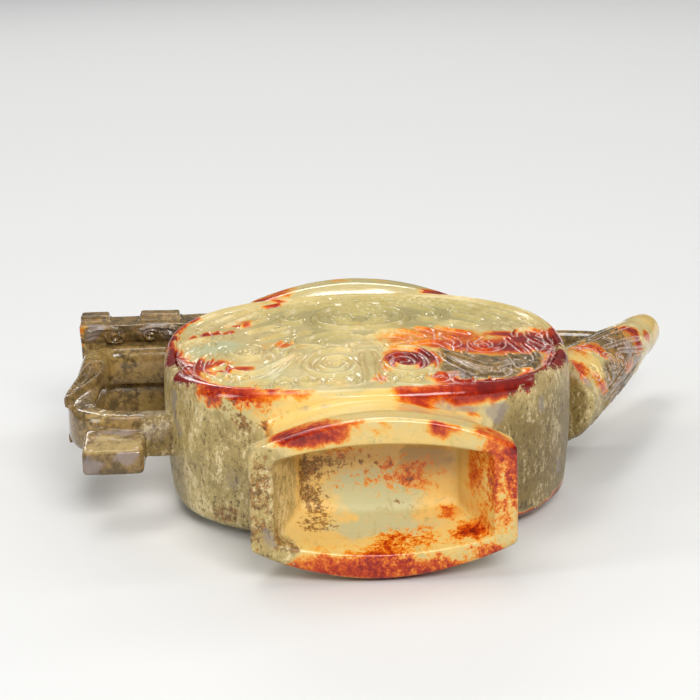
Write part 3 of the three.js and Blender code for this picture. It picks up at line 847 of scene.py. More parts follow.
# Half of the carving, for x from the long axis: near half first, then the far half.
faceStrokes = [
    ([(5, -17), (9, -15.5), (14.5, -18), (18, -27), (17.2, -36.5), (12.2, -41.6), (6.4, -39.4), (4.4, -32.5),
      (5.4, -26.5), (8.8, -23.4), (12.8, -25.2), (14.4, -31), (12.6, -36.2), (9.2, -36.8), (7.4, -33),
      (8.4, -29.4), (10.4, -29.6)], 1.15),
    ([(13.4, -12.4), (17, -9.8), (20.5, -9.6), (23, -13), (24.4, -18.4)], 0.9),
    ([(20.4, -18), (23.5, -22), (27.5, -27.5), (31, -32), (34, -34.4), (37, -33), (40, -29.4),
      (41.2, -24.6)], 1.05),
    ([(21.3, -22.5), (23.3, -30), (27, -38), (31, -42.8), (36, -43.2), (38.8, -40.4)], 0.9),
    ([(24.6, -27), (27.4, -34), (31.2, -39.6), (35.4, -40.8)], 0.35),
    ([(26.4, -28.6), (29.4, -34.2), (33, -38)], 0.35),
    ([(46.8, -9.5), (48.8, -18), (49, -26.5), (47, -33), (44.3, -37.8), (41.6, -37.4), (41.6, -34),
      (43.6, -32.2)], 1.2),
    ([(40.6, -21), (42.6, -26), (46, -27.4)], 0.55), ([(39.5, -28.6), (42.4, -30.6), (45, -29.8)], 0.3),
    ([(54.8, -15), (52.9, -23.5), (51.2, -30), (48.8, -37), (45, -42.6), (40.4, -46.6), (35.4, -49.4),
      (30.6, -51)], 0.5),
    ([(45.4, -1), (45.8, 4), (49, 8.3), (52.3, 7.4), (54.5, 3.5), (54.4, -3), (55.1, -9)], 0.65),
    ([(49.6, 6), (49.3, 0), (50.6, -5), (53, -10)], 0.5),
    ([(53, 4.2), (52.1, 1.5), (53, -1), (54, 1.5), (53, 4.2)], 0.3),
    ([(42.3, -3), (43.3, -8.5), (44.4, -14), (45.8, -20)], 0.55),
    ([(49.2, -3), (48.6, -8), (50.4, -16), (52.2, -13), (53.9, -9.5)], 0.32),
    ([(50.9, -20.5), (53, -17), (55.2, -12)], 0.32), ([(52.2, -4.5), (53.6, -6.2)], 0.25),
    ([(51.8, -7.5), (53.4, -9)], 0.25), ([(51.2, -10.4), (53, -12)], 0.25), ([(56, -12), (52, -14.6)], 0.3),
    ([(55.8, -17.5), (52, -19)], 0.3), ([(55, -21), (51.8, -22.4)], 0.3), ([(54.2, -25), (51, -26)], 0.3),
    ([(34.2, -3.5), (31.6, -8), (30.9, -13), (31.7, -17.3), (34.2, -19.3), (37.2, -17.5), (39.6, -14),
      (41, -9)], 0.75),
    ([(33.4, -11.6), (34, -15.3), (36, -14.2), (36.6, -11), (35, -8.8)], 0.5),
    ([(22, 0.5), (21.5, -5.4)], 0.7), ([(24.2, -2.6), (26.7, -7), (27.2, -11), (25.9, -14.4)], 0.8),
    ([(21.3, 10), (24, 6.5), (28, 3.5), (31.4, 0.8)], 0.6), ([(28.6, -17), (28, -22), (29.4, -26)], 0.5),
    ([(22.4, -42.6), (25.6, -42.2), (27.8, -45.4), (27.2, -49.4), (24.2, -50.4), (22.9, -47.6),
      (24.6, -46)], 0.62),
    ([(15.4, -43), (14.9, -47), (17.6, -49.2), (20.4, -47.4), (20.6, -43.8), (18.4, -42.8),
      (17.2, -45.2)], 0.62),
    ([(12.8, -44.6), (12.6, -48.2), (9.4, -49), (7.4, -46.8), (8.8, -44.4), (10.8, -45.6)], 0.6),
    ([(29.2, -44.8), (31.8, -45), (32.8, -48.4), (30.4, -50)], 0.55),
    ([(5.4, -41), (4.4, -45), (5.4, -49.2)], 0.6),
    ([(38.5, -35.2), (39.7, -37.8), (38.6, -40), (37.4, -37.8), (38.5, -35.2)], 0.3),
    ([(35.6, -36), (34.8, -38), (36, -39)], 0.5), ([(1.6, -18), (2.2, -28), (1.8, -38), (2.4, -48)], 0.5),
    ([(2.4, -9), (5, -12), (5.8, -15.2)], 0.55), ([(7.4, -12), (10.6, -10), (13.4, -8)], 0.3),
    ([(0.4, -2.6), (4, -1), (8, -1.6), (12, -4.4), (13.4, -8.8)], 0.8),
    ([(4, 3.2), (9, 4), (14, 1.4), (17.6, -3)], 0.7), ([(15.6, 7.6), (19.4, 5.4), (20.6, 2.6)], 0.6),
    ([(0, 38.8), (8, 37.4), (12.8, 31), (14, 23), (11.8, 15), (6, 10.4), (0, 9.4)], 1.1),
    ([(0, 33.6), (5.4, 32.2), (8.6, 27.4), (7.6, 22.4), (4.2, 20), (3, 23.2), (5.2, 25.6)], 0.8),
    ([(0, 14.6), (4, 15), (7.6, 17.4)], 0.6), ([(0, 28.6), (2.4, 28)], 0.5),
    ([(0, 43.4), (12, 42.2), (19.8, 37.4), (24.4, 30), (24, 23), (20.4, 19.4), (18.2, 22.8),
      (20.4, 26.6)], 0.95),
    ([(1, 48.4), (13, 47.4), (24, 42.8), (32.8, 35.8), (38.8, 28), (42.4, 22)], 0.9),
    ([(6, 52.6), (17, 51.4), (28, 46.8), (38, 39.2), (45, 30.4), (49.4, 22)], 0.75),
    ([(29, 28), (33, 24), (37.4, 19.4)], 0.75), ([(26.4, 16.6), (30.4, 14.6), (35, 10.8)], 0.7),
    ([(22.8, 14.6), (27, 11)], 0.5), ([(28.6, 34), (30.4, 30.4), (28.8, 32)], 0.5),
    ([(52.6, 4.8), (50, 9), (49.2, 15), (50.4, 19.6)], 0.3), ([(47, 7), (45.8, 12), (46.8, 18)], 0.3),
    ([(43.6, 6), (42.4, 11), (43.6, 17)], 0.3), ([(40.4, 5), (39.6, 10), (40.8, 15)], 0.3),
    ([(55.4, 3), (54.4, 10), (53.2, 17), (50.8, 24)], 0.5),
]
faceWork = Strokes(faceStrokes + [([(-x, y) for x, y in points], half) for points, half in faceStrokes])


def makeFace(name, side, cells):
    pickNothing()
    bpy.ops.mesh.primitive_grid_add(x_subdivisions=cells, y_subdivisions=cells, size=2)
    face = bpy.context.object
    face.name = name
    cuts = face.data.attributes.new("cutLine", "FLOAT", "POINT")
    for vertex in face.data.vertices:
        u, v = vertex.co.xy
        v += carving["nearFiner"] * (v * v - 1)
        out = max(abs(u), abs(v))
        turn = math.atan2(v, u)
        reach = planRadius(turn) - carving["inset"]
        x, y = reach * out * math.cos(turn), reach * out * math.sin(turn)
        inward = reach * (1 - out)
        band, cut = faceWork.at((x, y, 0))
        border = smoothStep(0.0, 0.8, inward)
        rim = 1 - smoothStep(1.3, 1.7, inward)
        height = max(band, rim * carving["rimRise"]) * carving["rise"] - cut * carving["cut"]
        height += carving["tooling"] * noise.noise(Vector((x, y, side * 20)) / carving["toolingSize"])
        z = crownAt(x, y) - carving["drop"] - 0.08 + height * border - 1.0 * (1 - border)
        vertex.co = place(x, y, side * z)
        cuts.data[vertex.index].value = cut * border
    bpy.ops.object.mode_set(mode="EDIT")
    bpy.ops.mesh.select_mode(type="EDGE")
    bpy.ops.mesh.select_all(action="DESELECT")
    bpy.ops.mesh.select_non_manifold()
    inward = (0, 0, -side * carving["thickness"] * mm)
    bpy.ops.mesh.extrude_region_move(TRANSFORM_OT_translate={"value": inward})
    bpy.ops.mesh.edge_face_add()
    bpy.ops.object.mode_set(mode="OBJECT")
    faceOut(face)
    return face


print("carved faces")
frontFace = makeFace("jadeFrontFace", 1, carving["frontCells"])
backFace = makeFace("jadeBackFace", -1, carving["backCells"])


# Stains of the stone are rows of middle, reach along x, y and z, and strength from 0 to 1.
# A stain on the drum's wall, by the angle around the body and the height.
def onWall(turn, up, reach, strength):
    turn = math.radians(turn)
    out = planRadius(turn) - 1.0
    return (out * math.cos(turn), out * math.sin(turn), up), reach, strength


# A run of stains along the rim, from one angle to another.
def alongRim(first, last, reach, strength, up=21.2):
    count = max(1, round(abs(last - first) / 6))        # one every six degrees
    return [onWall(first + (last - first) * step / count, up, reach, strength) for step in range(count + 1)]


# A stain on the carved face.
def onFace(x, y, across, along, strength):
    return (x, y, 22), (across, along, 6), strength


# A stain on the spout, by its distance from the root and the angle towards the top.
def onSpout(out, turn, reach, strength):
    return tuple(spoutSpot(out, turn)), reach, strength


# Stains on the foot's open end and on the back wall of its recess, by x and z.
def onFootEnd(x, z, across, up, strength):
    return (x, -88, z), (across, 5, up), strength


def inRecess(x, z, across, up, strength):
    return (x, -69, z), (across, 3.5, up), strength


stains = {
    "iron": [
        # right part of the front face: amber edge, orange and red field, crimson end
        onFace(14, 3, 10, 7, 0.30), onFace(26, 2, 9, 7, 0.36), onFace(6, -5, 4, 8, 0.24),
        onFace(15, -8, 9, 8, 0.38), onFace(31, -8, 9, 10, 0.52), onFace(34, -17, 9, 6, 0.58),
        onFace(44, -16, 7, 5, 0.62), onFace(24, -14, 6, 6, 0.42), onFace(47, -5, 7, 10, 0.88),
        onFace(54, -8, 6, 14, 0.95), onFace(42, 2, 5, 4, 0.7), onFace(40, -12, 5, 6, 0.6),
        onFace(56, -25, 3, 12, 1.0), onFace(53, -38, 5, 9, 1.0), onFace(50, -44, 6, 6, 0.95),
        onFace(54, -30, 4, 7, 0.9), onFace(47, -48, 7, 6, 0.95), onFace(36, -51, 9, 4.6, 0.88),
        onFace(26, -52, 7, 4, 0.8), onFace(20, -46, 4, 5, 0.74),
        # the red scroll and the amber around it
        onFace(13.4, -28, 7.4, 9, 1.0), onFace(7.4, -24, 4.4, 10, 0.45), onFace(6, -34, 3, 7, 0.4),
        onFace(1, -45, 2.2, 6, 0.42),
        # left part of the front face
        onFace(-55, -21, 4.4, 9, 1.0), onFace(-49.5, -24, 3.2, 8, 0.78), onFace(-53, -36, 4, 7, 0.78),
        onFace(-46, -21, 4, 2.6, 0.5), onFace(-41, -20, 3, 2, 0.42), onFace(-38.5, -29.5, 5, 3.6, 0.62),
        onFace(-45, -30, 5, 2.5, 0.42), onFace(-43, -46, 6, 2.8, 0.6), onFace(-36, -47.5, 4, 2, 0.42),
        onFace(-29, -52, 2.6, 2, 0.56), onFace(-45, -30, 10, 15, 0.16), onFace(-48, 16.5, 2.4, 2.6, 0.8),
        onFace(-44.3, 16.5, 1.7, 2.2, 0.72), onFace(-40, 14.5, 2.6, 2.2, 0.7), onFace(-53, 12, 2.4, 4, 0.7),
        onFace(-37, 22, 4, 2.4, 0.62), onFace(-35, 27, 3.4, 2.6, 0.46), onFace(-24, -7, 2.4, 3.4, 0.56),
        onFace(-29, -6, 4, 3, 0.28), onFace(-28, 46, 4, 2.6, 0.76), onFace(-23, 53, 4, 1.8, 0.66),
        # the rim, from the far left over the near left, then from the near right to the far right
        *alongRim(146, 176, (3.2, 5, 3.4), 0.9), *alongRim(176, 214, (3.6, 5.4, 4), 1.0),
        *alongRim(216, 234, (5, 4.4, 3.6), 0.72, 20.4), *alongRim(238, 250, (5, 3, 2.2), 0.4, 21.2),
        onWall(226, 17.6, (7, 5, 2.4), 0.4), onWall(237, 17, (7, 4, 3), 0.36),
        onWall(242, 10, (1.8, 4, 5), 0.6), *alongRim(-81, -62, (5, 4, 3.6), 0.66, 19.6),
        *alongRim(-60, -34, (4, 4.4, 3), 0.9, 21.2), *alongRim(-32, 12, (3.4, 5, 3.2), 0.92, 21.6),
        *alongRim(16, 36, (2.6, 3.4, 2.4), 0.5, 22), *alongRim(-54, -24, (7, 7, 1.4), 0.9, -19.6),
        onWall(-68, 13, (5, 3, 1.6), 0.6),
        # the mouth
        ((-33, 74, 15), (5, 14, 5), 0.85), ((-27, 84, 17), (7, 8, 2.4), 0.66),
        ((31, 80, 17), (6, 14, 4.4), 0.92), ((-6, 87, 20.6), (22, 5, 1.2), 0.3),
        # the foot's top edge, its right end and its bottom edge
        ((-27, -86, 17.6), (8, 7, 2.4), 0.86), ((-16, -87, 19.6), (8, 6, 2.4), 0.8),
        ((-19, -87.6, 16.6), (5, 3, 1.8), 0.55), ((-2, -88, 20.6), (8, 3, 0.9), 0.5),
        ((14.5, -88, 18.2), (3, 3, 1.6), 0.7), ((15, -88, 18.4), (5.4, 3, 2.6), 0.3),
        ((19.4, -88, 19.4), (2, 3, 1), 0.4), ((22, -88, 17), (1.6, 2, 1), 0.3),
        ((31, -86, 17), (6, 7, 1.8), 0.8), ((35.4, -85, 13), (2.2, 9, 3), 0.8),
        onFootEnd(31, 12.6, 4, 3, 0.55), onFootEnd(35.2, 5, 1.5, 8, 0.72), onFootEnd(30, 5, 2.6, 6, 0.5),
        onFootEnd(30, -3, 3.6, 4, 0.42), ((25.4, -82, 5), (2.4, 8, 7), 0.62),
        ((35.6, -84, -6), (2, 9, 5), 0.5), onFootEnd(28, -16, 6, 2.4, 0.52),
        onFootEnd(19, -18.6, 4.6, 2, 0.66), onFootEnd(-14, -17, 12, 3.6, 0.6),
        onFootEnd(-24, -15, 3.6, 2.2, 0.5), onFootEnd(-5, -18, 6, 3, 0.5), ((-14, -85, -11), (9, 6, 3), 0.16),
        ((6, -85, -12.6), (10, 6, 3), 0.3), ((27, -86, -9), (8, 6, 7), 0.22), ((30, -87, 9), (6, 5, 8), 0.26),
        ((-4, -88, 18), (12, 4, 3), 0.14), ((24, -80, -4), (4, 10, 8), 0.2), onFootEnd(1, -14.4, 5, 2.2, 0.5),
        onFootEnd(5, -18.6, 2.4, 3, 0.55), onFootEnd(13, -17.4, 3.6, 2.6, 0.4),
        ((0, -85, -20.6), (28, 10, 2), 0.5), ((4, -86, -19), (16, 6, 3), 0.4),
        ((4, -84, -12), (7, 5, 2), 0.3),
        # the recess: spots on its floor
        ((18, -73, -10.6), (3, 4, 2.6), 0.56), ((20.5, -83, -11.4), (3, 4.6, 2.4), 0.62),
        ((25, -84, -10.6), (3, 4, 3), 0.52), ((10, -80, -11.6), (4, 5, 2), 0.26),
        # the spout
        onSpout(3, 0.95, (6, 7, 5), 0.66), onSpout(10, 0.35, (4, 4, 4), 0.42),
        onSpout(13, 0.12, (3, 4, 3), 0.36), onSpout(28, 1.2, (5, 6, 3), 0.66),
        onSpout(20, 1.4, (4, 5, 2.6), 0.52), onSpout(66, 1.0, (5, 5, 3.2), 0.85),
        onSpout(62, 0.42, (3, 4, 3), 0.72), onSpout(46, 0.05, (4, 5, 3), 0.56),
        onSpout(54, 0.8, (8, 9, 7), 0.2), onSpout(36, 0.6, (5, 5, 5), 0.26), onSpout(76, 0.5, (3, 4, 3), 0.6),
        # the handle
        ((-89.8, 61, 10), (1.7, 7, 4), 0.5), ((-80, -42, 3), (6, 1.4, 1.2), 0.2),
        # rusty grains on the recess's back wall
        inRecess(-9, 6, 6, 2.4, 0.42), inRecess(2, 2, 4, 4, 0.46), inRecess(10.5, 1.4, 4, 4.6, 0.46),
        inRecess(-13, -1, 5, 6, 0.3),
    ],
    # where the red comes in grains
    "grain": [
        ((14, -86, -16), (22, 12, 8), 1.0), ((-16, -86, -18), (12, 12, 6), 0.45),
        ((33, -84, 0), (9, 14, 14), 1.0), ((-22, -86, 18), (16, 8, 5), 0.5),
        *alongRim(216, 244, (8, 7, 4), 0.9, 15), ((12, -78, -11), (22, 12, 3), 0.8),
        inRecess(0, 2, 24, 9, 1.0), onSpout(16, 0.4, (16, 16, 12), 0.6), onSpout(62, 0.8, (14, 14, 12), 0.9),
        onSpout(34, 1.1, (12, 12, 10), 0.8), ((-90, 60, 8), (4, 10, 8), 0.8),
    ],
    "crust": [
        onWall(186, 12, (5, 9, 8), 1.0), onWall(200, 13, (5, 8, 7), 1.0), onWall(214, 13, (6, 8, 6), 1.0),
        onWall(224, 10, (7, 7, 5), 0.9), onWall(-52, 11, (7, 7, 7), 0.9), onWall(-40, 13, (8, 8, 7), 1.0),
        onWall(-26, 13, (6, 9, 7), 1.0), onWall(-10, 13, (6, 12, 7), 1.0), onWall(192, -3, (6, 12, 18), 0.9),
        onWall(204, -1, (9, 12, 18.5), 1.0), onWall(216, -2, (12, 12, 18), 1.0),
        onWall(228, -4, (11, 11, 17), 1.0), onWall(238, -5, (9, 9, 16), 1.0),
        onWall(-54, -1, (7, 8, 17), 1.0), onWall(-44, 0, (10, 10, 18.6), 1.0),
        onWall(-32, 0, (8, 12, 19), 1.0), onWall(-14, -1, (8, 16, 18), 0.95), onWall(8, -2, (8, 16, 17), 0.8),
        ((56, 36, -2), (12, 22, 15), 0.7), ((0, 60, -2), (40, 7, 14), 0.6),
        ((-42, 50, -2), (16, 14, 14), 0.7), ((-35.5, -82, -1), (5, 13, 17), 1.0),
        onFootEnd(-32, -3, 5, 17, 0.95), onFootEnd(-27, -12, 4, 5, 0.8), ((-26, -79, 1), (4.6, 11, 12), 0.85),
        onFootEnd(-27, 12.6, 5, 2.4, 0.6), onSpout(2, -0.5, (9, 9, 9), 0.95),
        onSpout(12, -0.4, (9, 10, 7), 0.9), onSpout(0, 0.1, (5, 5, 5), 0.7),
    ],
    # dark specks, and one painted shade line along the crease in the foot's recess
    "brown": [
        onWall(235, 11, (5, 5, 3.6), 0.66), onWall(231, 16.4, (6, 4, 2.4), 0.56),
        onWall(222, 17, (6, 6, 2.2), 0.42), onWall(242, 11, (3, 3, 7), 0.6),
        onWall(229, -16, (11, 9, 4), 0.6), onWall(214, 10, (5, 8, 7), 0.32), onFootEnd(-26, -10, 4, 4, 0.6),
        ((-33, -85, 6), (4, 8, 9), 0.46), ((-34, -85, -8), (4, 8, 6), 0.5), onFootEnd(-22, -8, 4, 3, 0.5),
        inRecess(-18, -1.5, 6.2, 10, 0.6), inRecess(-7, 5.4, 8, 3, 0.56), inRecess(2, 2, 3.4, 3.4, 0.44),
        inRecess(10.5, 1, 3.8, 4.6, 0.4), ((-18, -75, -10.5), (6.4, 7, 3), 0.66),
        ((-22, -79, 0), (3, 8, 11), 0.4), ((-30, -87, 2), (6, 5, 15), 0.4), inRecess(-21, 2, 3, 8, 0.4),
        # inRecess(7, -8.6, ...) is the painted shade line along the crease at the bottom of the recess's back
        # wall
        inRecess(7, -8.6, 7, 0.8, 0.5), onSpout(22, -0.1, (8, 8, 6), 0.5), onSpout(34, 0.2, (9, 9, 9), 0.55),
        onSpout(50, 0.3, (9, 9, 10), 0.55), onSpout(44, 1.25, (8, 8, 7), 0.4),
        ((60, 49, 0), (22, 5, 13), 0.45),
    ],
    "smokeAndShade": [
        onFace(27, -31, 7, 9, 1.0), onFace(36, -34, 9, 11, 1.0), onFace(45, -31, 6, 12, 1.0),
        onFace(48, -22, 4, 7, 0.9), onFace(40, -23, 9, 5, 0.8), onFace(23, -24, 4, 6, 0.9),
        onFace(25, -43, 6, 6, 0.9), onFace(38, -44, 8, 5, 0.8), onFace(20, -36, 3, 6, 0.7),
        # the run along the right wall is painted shade: it darkens that side's crust and stone
        *alongRim(-56, 10, (7, 9, 16), 0.9, -3), onSpout(4, -0.5, (9, 9, 9), 0.3),
        onSpout(20, 0.1, (7, 8, 6), 0.8), onSpout(32, 0.2, (9, 9, 9), 1.0),
        onSpout(46, 0.2, (9, 10, 10), 1.0), onSpout(58, 0.55, (7, 8, 8), 0.9),
        onSpout(46, 1.25, (9, 9, 8), 0.9), onSpout(34, 1.3, (7, 7, 6), 0.7), onSpout(58, 1.2, (7, 7, 6), 0.8),
        onSpout(40, -1.2, (18, 24, 12), 0.85), onSpout(45, 2.6, (14, 24, 12), 0.8),
        ((60, 49, 0), (22, 5, 13), 0.95),
    ],
    # painted reflection: greyish lilac sheen of the lamps on polished places
    "paintedSheen": [
        ((-85, 58, 11), (3, 4, 4), 0.9), ((-66, 57, 12), (6, 4, 2), 0.66), ((-61, 58, 9), (3, 4, 3), 0.6),
        ((-73, -29, 3), (9, 3, 3), 0.66), ((-86, -28, 2), (2, 6, 3), 0.5), ((-80, -41, -3), (4, 2, 4), 0.9),
        ((-70, -41, -2), (4, 2, 3), 0.75), ((-76, -38, 4), (8, 3, 2), 0.5), ((-62, -28, 3), (4, 3, 4), 0.5),
        onWall(207, 12, (3, 4, 5), 0.7), onWall(211, 6, (3, 3, 4), 0.6),
        onWall(-58, 13.6, (5, 3.4, 4.4), 0.85), onWall(-72, 15.8, (6, 3, 1.6), 0.62),
        onWall(-66, 15, (4, 3, 1.8), 0.6), onWall(-44, 12, (2, 2.4, 3), 0.62),
        onWall(-34, -10, (2, 2.4, 4), 0.6), onWall(232, -4, (5, 5, 5), 0.4),
        ((-14, -57.6, 17.2), (9, 3, 1.5), 0.85), ((2, -59, 17.4), (4, 3, 1.2), 0.75),
        onFace(24, -43, 5, 5, 0.66), onSpout(51, 0.56, (5, 5, 2.4), 0.8), onSpout(3, 0.55, (2, 2, 3), 0.62),
        onFootEnd(-31, -9, 2, 4, 0.6), ((-84, 10, 2), (6, 16, 8), 0.34), ((-70, 50, 6), (12, 3, 4), 0.36),
    ],
    "cream": [
        ((99, 80, 1), (9, 14, 12), 1.0), onSpout(14, 0.95, (7, 8, 7), 0.9), ((0, -80, 0), (44, 22, 26), 0.9),
        ((-16, -60, 12), (30, 6, 9), 0.95), ((10, -60, 14), (24, 5, 8), 0.7), ((4, 72, 4), (34, 16, 20), 0.3),
        onFace(-44, -34, 12, 18, 0.35), onFace(8, -20, 9, 30, 0.42),
    ],
    # greener and darker stone
    "olive": [
        onFace(8, 28, 50, 32, 0.8), onFace(10, 30, 16, 12, 0.5), ((0, 82, 8), (28, 12, 14), 0.5),
        onFace(-12, -4, 9, 12, 0.4),
    ],
    # golden tan on the smoky handle and elsewhere; on the upper back wall of the foot's recess it is painted
    # shade
    "tan": [
        ((-74, -37, 2), (11, 6, 5), 0.6), ((-86, -26, -2), (3, 8, 7), 0.66), ((-78, -20, 7), (9, 5, 3), 0.5),
        ((-86, 46, 7), (4, 8, 4), 0.6), ((-64, 34, 0), (6, 16, 8), 0.4), onSpout(20, 0.3, (6, 6, 5), 0.5),
        # the two places in the recess are painted shade on the top of its back wall
        inRecess(13, 5, 9, 6, 0.8), inRecess(-8, 6, 10, 3, 0.5), *alongRim(196, 236, (9, 9, 16), 0.62, -2),
        onFace(0, -30, 4, 14, 0.4), onFace(-20, -14, 8, 5, 0.42), onFace(4, 12, 12, 6, 0.4),
        onFace(-30, 8, 8, 7, 0.4),
    ],
    # worn dull
    "dull": [
        ((0, -70, -9.6), (40, 8, 8), 1.0), ((-20, -70, 0), (6, 6, 14), 0.8),
    ],
    "mint": [
        inRecess(-2, -4.4, 14, 7.4, 1.0), ((0, -75, -11.8), (18, 8, 3), 0.85), onFace(-46, -4, 11, 9, 0.7),
        onFace(-28, -34, 8, 12, 0.5), onFace(-8, -40, 9, 8, 0.4), ((0, 82, 8), (28, 12, 14), 0.5),
    ],
}


stainFull, stainEnd = 0.4, 1.5      # in shares of its reach, a stain is full to the one and gone at the other
wander = [(9, 2.8), (3, 1.1)]       # size of the wandering and how far it goes, in millimetres


def stainAt(spot, places):
    bare = 1.0
    for middle, reach, strength in places:
        dx = (spot.x - middle[0]) / reach[0]
        dy = (spot.y - middle[1]) / reach[1]
        if abs(dx) > stainEnd or abs(dy) > stainEnd:
            continue
        away = math.sqrt(dx * dx + dy * dy + ((spot.z - middle[2]) / reach[2]) ** 2)
        bare *= 1 - strength * (1 - smoothStep(stainFull, stainEnd, away))
    return 1 - bare


# Stores on each vertex how strong each kind of stain is there; a kind named in allOver is everywhere.
# Each place is looked up a little aside, by a wandering amount, so that no stain is round.
def paintStone(piece, allOver):
    for kind in [*stains, "cutLine"]:
        if kind not in piece.data.attributes:
            piece.data.attributes.new(kind, "FLOAT", "POINT")
    spots = []
    for vertex in piece.data.vertices:
        spot = fromMiddle(vertex.co)
        aside = spot.copy()
        for size, amount in wander:
            aside += noise.noise_vector(spot / size) * amount
        spots.append(aside)
    low = [min(spot[axis] for spot in spots) for axis in range(3)]
    high = [max(spot[axis] for spot in spots) for axis in range(3)]

    def isNear(middle, reach):
        return all(low[k] - stainEnd * reach[k] < middle[k] < high[k] + stainEnd * reach[k] for k in range(3))

    for kind, places in stains.items():
        near = [stain for stain in places if isNear(*stain[:2])]
        layer = piece.data.attributes[kind].data
        for index, spot in enumerate(spots):
            layer[index].value = 1.0 if kind in allOver else stainAt(spot, near)


# Crusted skin is pitted: small and larger hollows where the crust is, in millimetres.
pits = {"small": 1.7, "large": 4, "largeShare": 0.6, "depth": 0.28}


def pitCrust(piece):
    crust = piece.data.attributes["crust"].data
    for vertex, normal in [(v, v.normal.copy()) for v in piece.data.vertices]:
        share = crust[vertex.index].value
        if share > 0.1:
            spot = fromMiddle(vertex.co)
            pit = noise.noise(spot / pits["small"])
            pit += pits["largeShare"] * noise.noise(spot / pits["large"] + Vector((7, 3, 1)))
            vertex.co -= normal * smoothStep(0.2, 0.8, share) * max(0.0, pit) * pits["depth"] * mm


# A material's node tree, with short ways to add to it.
class StoneNodes:
    def __init__(self, name):
        self.material = bpy.data.materials.new(name)
        self.material.use_nodes = True
        self.tree = self.material.node_tree
        self.shader = self.tree.nodes["Principled BSDF"]

    def add(self, kind, **settings):
        node = self.tree.nodes.new(kind)
        for name, value in settings.items():
            setattr(node, name, value)
        return node

    def feed(self, socket, value):
        if isinstance(value, bpy.types.NodeSocket):
            self.tree.links.new(value, socket)
        else:
            socket.default_value = (*value, 1) if isinstance(value, tuple) else value

    def attribute(self, name):
        return self.add("ShaderNodeAttribute", attribute_name=name).outputs["Fac"]

    def math(self, operation, first, second):
        node = self.add("ShaderNodeMath", operation=operation)
        self.feed(node.inputs[0], first)
        self.feed(node.inputs[1], second)
        return node.outputs[0]

    def plus(self, first, *others):
        for other in others:
            first = self.math("ADD", first, other)
        return first

    def times(self, first, second):
        return self.math("MULTIPLY", first, second)

    # A noise's swing around its middle, made larger or smaller.
    def around(self, value, amount):
        return self.times(self.math("SUBTRACT", value, 0.5), amount)

    def noise(self, place, scale, detail, roughness, distortion=0.0, stretch=(1, 1, 1)):
        mapping = self.add("ShaderNodeMapping")
        mapping.inputs["Scale"].default_value = stretch
        self.feed(mapping.inputs["Vector"], place)
        node = self.add("ShaderNodeTexNoise")
        self.feed(node.inputs["Vector"], mapping.outputs[0])
        values = {"Scale": scale, "Detail": detail, "Roughness": roughness, "Distortion": distortion}
        for name, value in values.items():
            node.inputs[name].default_value = value
        return node.outputs["Fac"]

    # A colour ramp; stops are a position and a colour or a grey.
    def ramp(self, value, *stops):
        node = self.add("ShaderNodeValToRGB")
        while len(node.color_ramp.elements) < len(stops):
            node.color_ramp.elements.new(0.5)
        for element, (position, color) in zip(node.color_ramp.elements, stops):
            element.position = position
            element.color = (*color, 1) if isinstance(color, tuple) else (color, color, color, 1)
        self.feed(node.inputs[0], value)
        return node.outputs[0]

    def mix(self, share, first, second):
        node = self.add("ShaderNodeMix", data_type="RGBA")
        for socket, value in zip((node.inputs[0], node.inputs[6], node.inputs[7]), (share, first, second)):
            self.feed(socket, value)
        return node.outputs[2]


stone = {
    "pale": (0.80, 0.64, 0.30),
    "green": (0.58, 0.48, 0.20),
    "ochre": (0.76, 0.48, 0.14),
    "cream": (0.90, 0.62, 0.19),
    "mint": (0.62, 0.61, 0.35),
    "olive": (0.50, 0.42, 0.16),
    "smokeLight": (0.28, 0.165, 0.055),
    "smokeDark": (0.075, 0.043, 0.013),
    "tan": (0.42, 0.27, 0.08),
    # golden tan, which in the foot's recess is painted shade
    "goldTanAndShade": (0.52, 0.37, 0.14),
    # the greyish lilac of the painted reflection
    "paintedSheen": (0.31, 0.26, 0.255),
    "brownLight": (0.38, 0.17, 0.035),
    "brownDark": (0.06, 0.020, 0.004),
    "crustPale": (0.86, 0.71, 0.42),
    "crustLight": (0.76, 0.59, 0.24),
    "crustMiddle": (0.42, 0.31, 0.11),
    "crustDeep": (0.17, 0.105, 0.02),
    "crustDark": (0.07, 0.042, 0.015),
    # cut lines: pale chalk with a painted highlight on dark stone, brownish painted shade on pale stone
    "chalkAndHighlightOnDark": (0.80, 0.62, 0.54),
    "lineShadeOnPale": (0.46, 0.34, 0.15),
}
# From a thin stain to a full one: amber, orange, red and crimson.
ironColors = [
    (0.18, (0.92, 0.56, 0.10)), (0.34, (0.90, 0.34, 0.015)), (0.50, (0.76, 0.15, 0.004)),
    (0.66, (0.55, 0.045, 0.002)), (0.84, (0.32, 0.012, 0.002)), (1.0, (0.18, 0.006, 0.002)),
]
# Patterns in the stone: scale, detail, roughness, distortion and stretch.
patterns = {
    "broad": (34, 3, 0.5, 0.4),
    "cloud": (110, 6, 0.62, 0.9),
    "veins": (230, 7, 0.7, 1.6, (1, 0.5, 1)),
    "fine": (620, 6, 0.7, 0.3),
    "speck": (1500, 4, 0.7),
    "flecks": (760, 6, 0.75, 0.3, (1, 1, 0.5)),
    "patch": (150, 5, 0.65, 0.8, (1, 1, 0.6)),
}
polish = {
    "roughness": 0.03,          # where the stone is bare and polished
    "roughFine": 0.15,          # what the fine pattern, the crust and worn places add
    "roughCrust": 0.26,
    "roughDull": 0.5,
    "refraction": 1.5,
    "scatter": 0.05,
    "scatterColor": (1.0, 0.5, 0.2),
    "scatterReach": 0.0014,
    "bump": 0.4,
    "bumpHeight": 0.0004,
    "bumpFine": 0.2,
    "bumpSpeck": 0.08,
    "bumpCrust": 1.5,
}


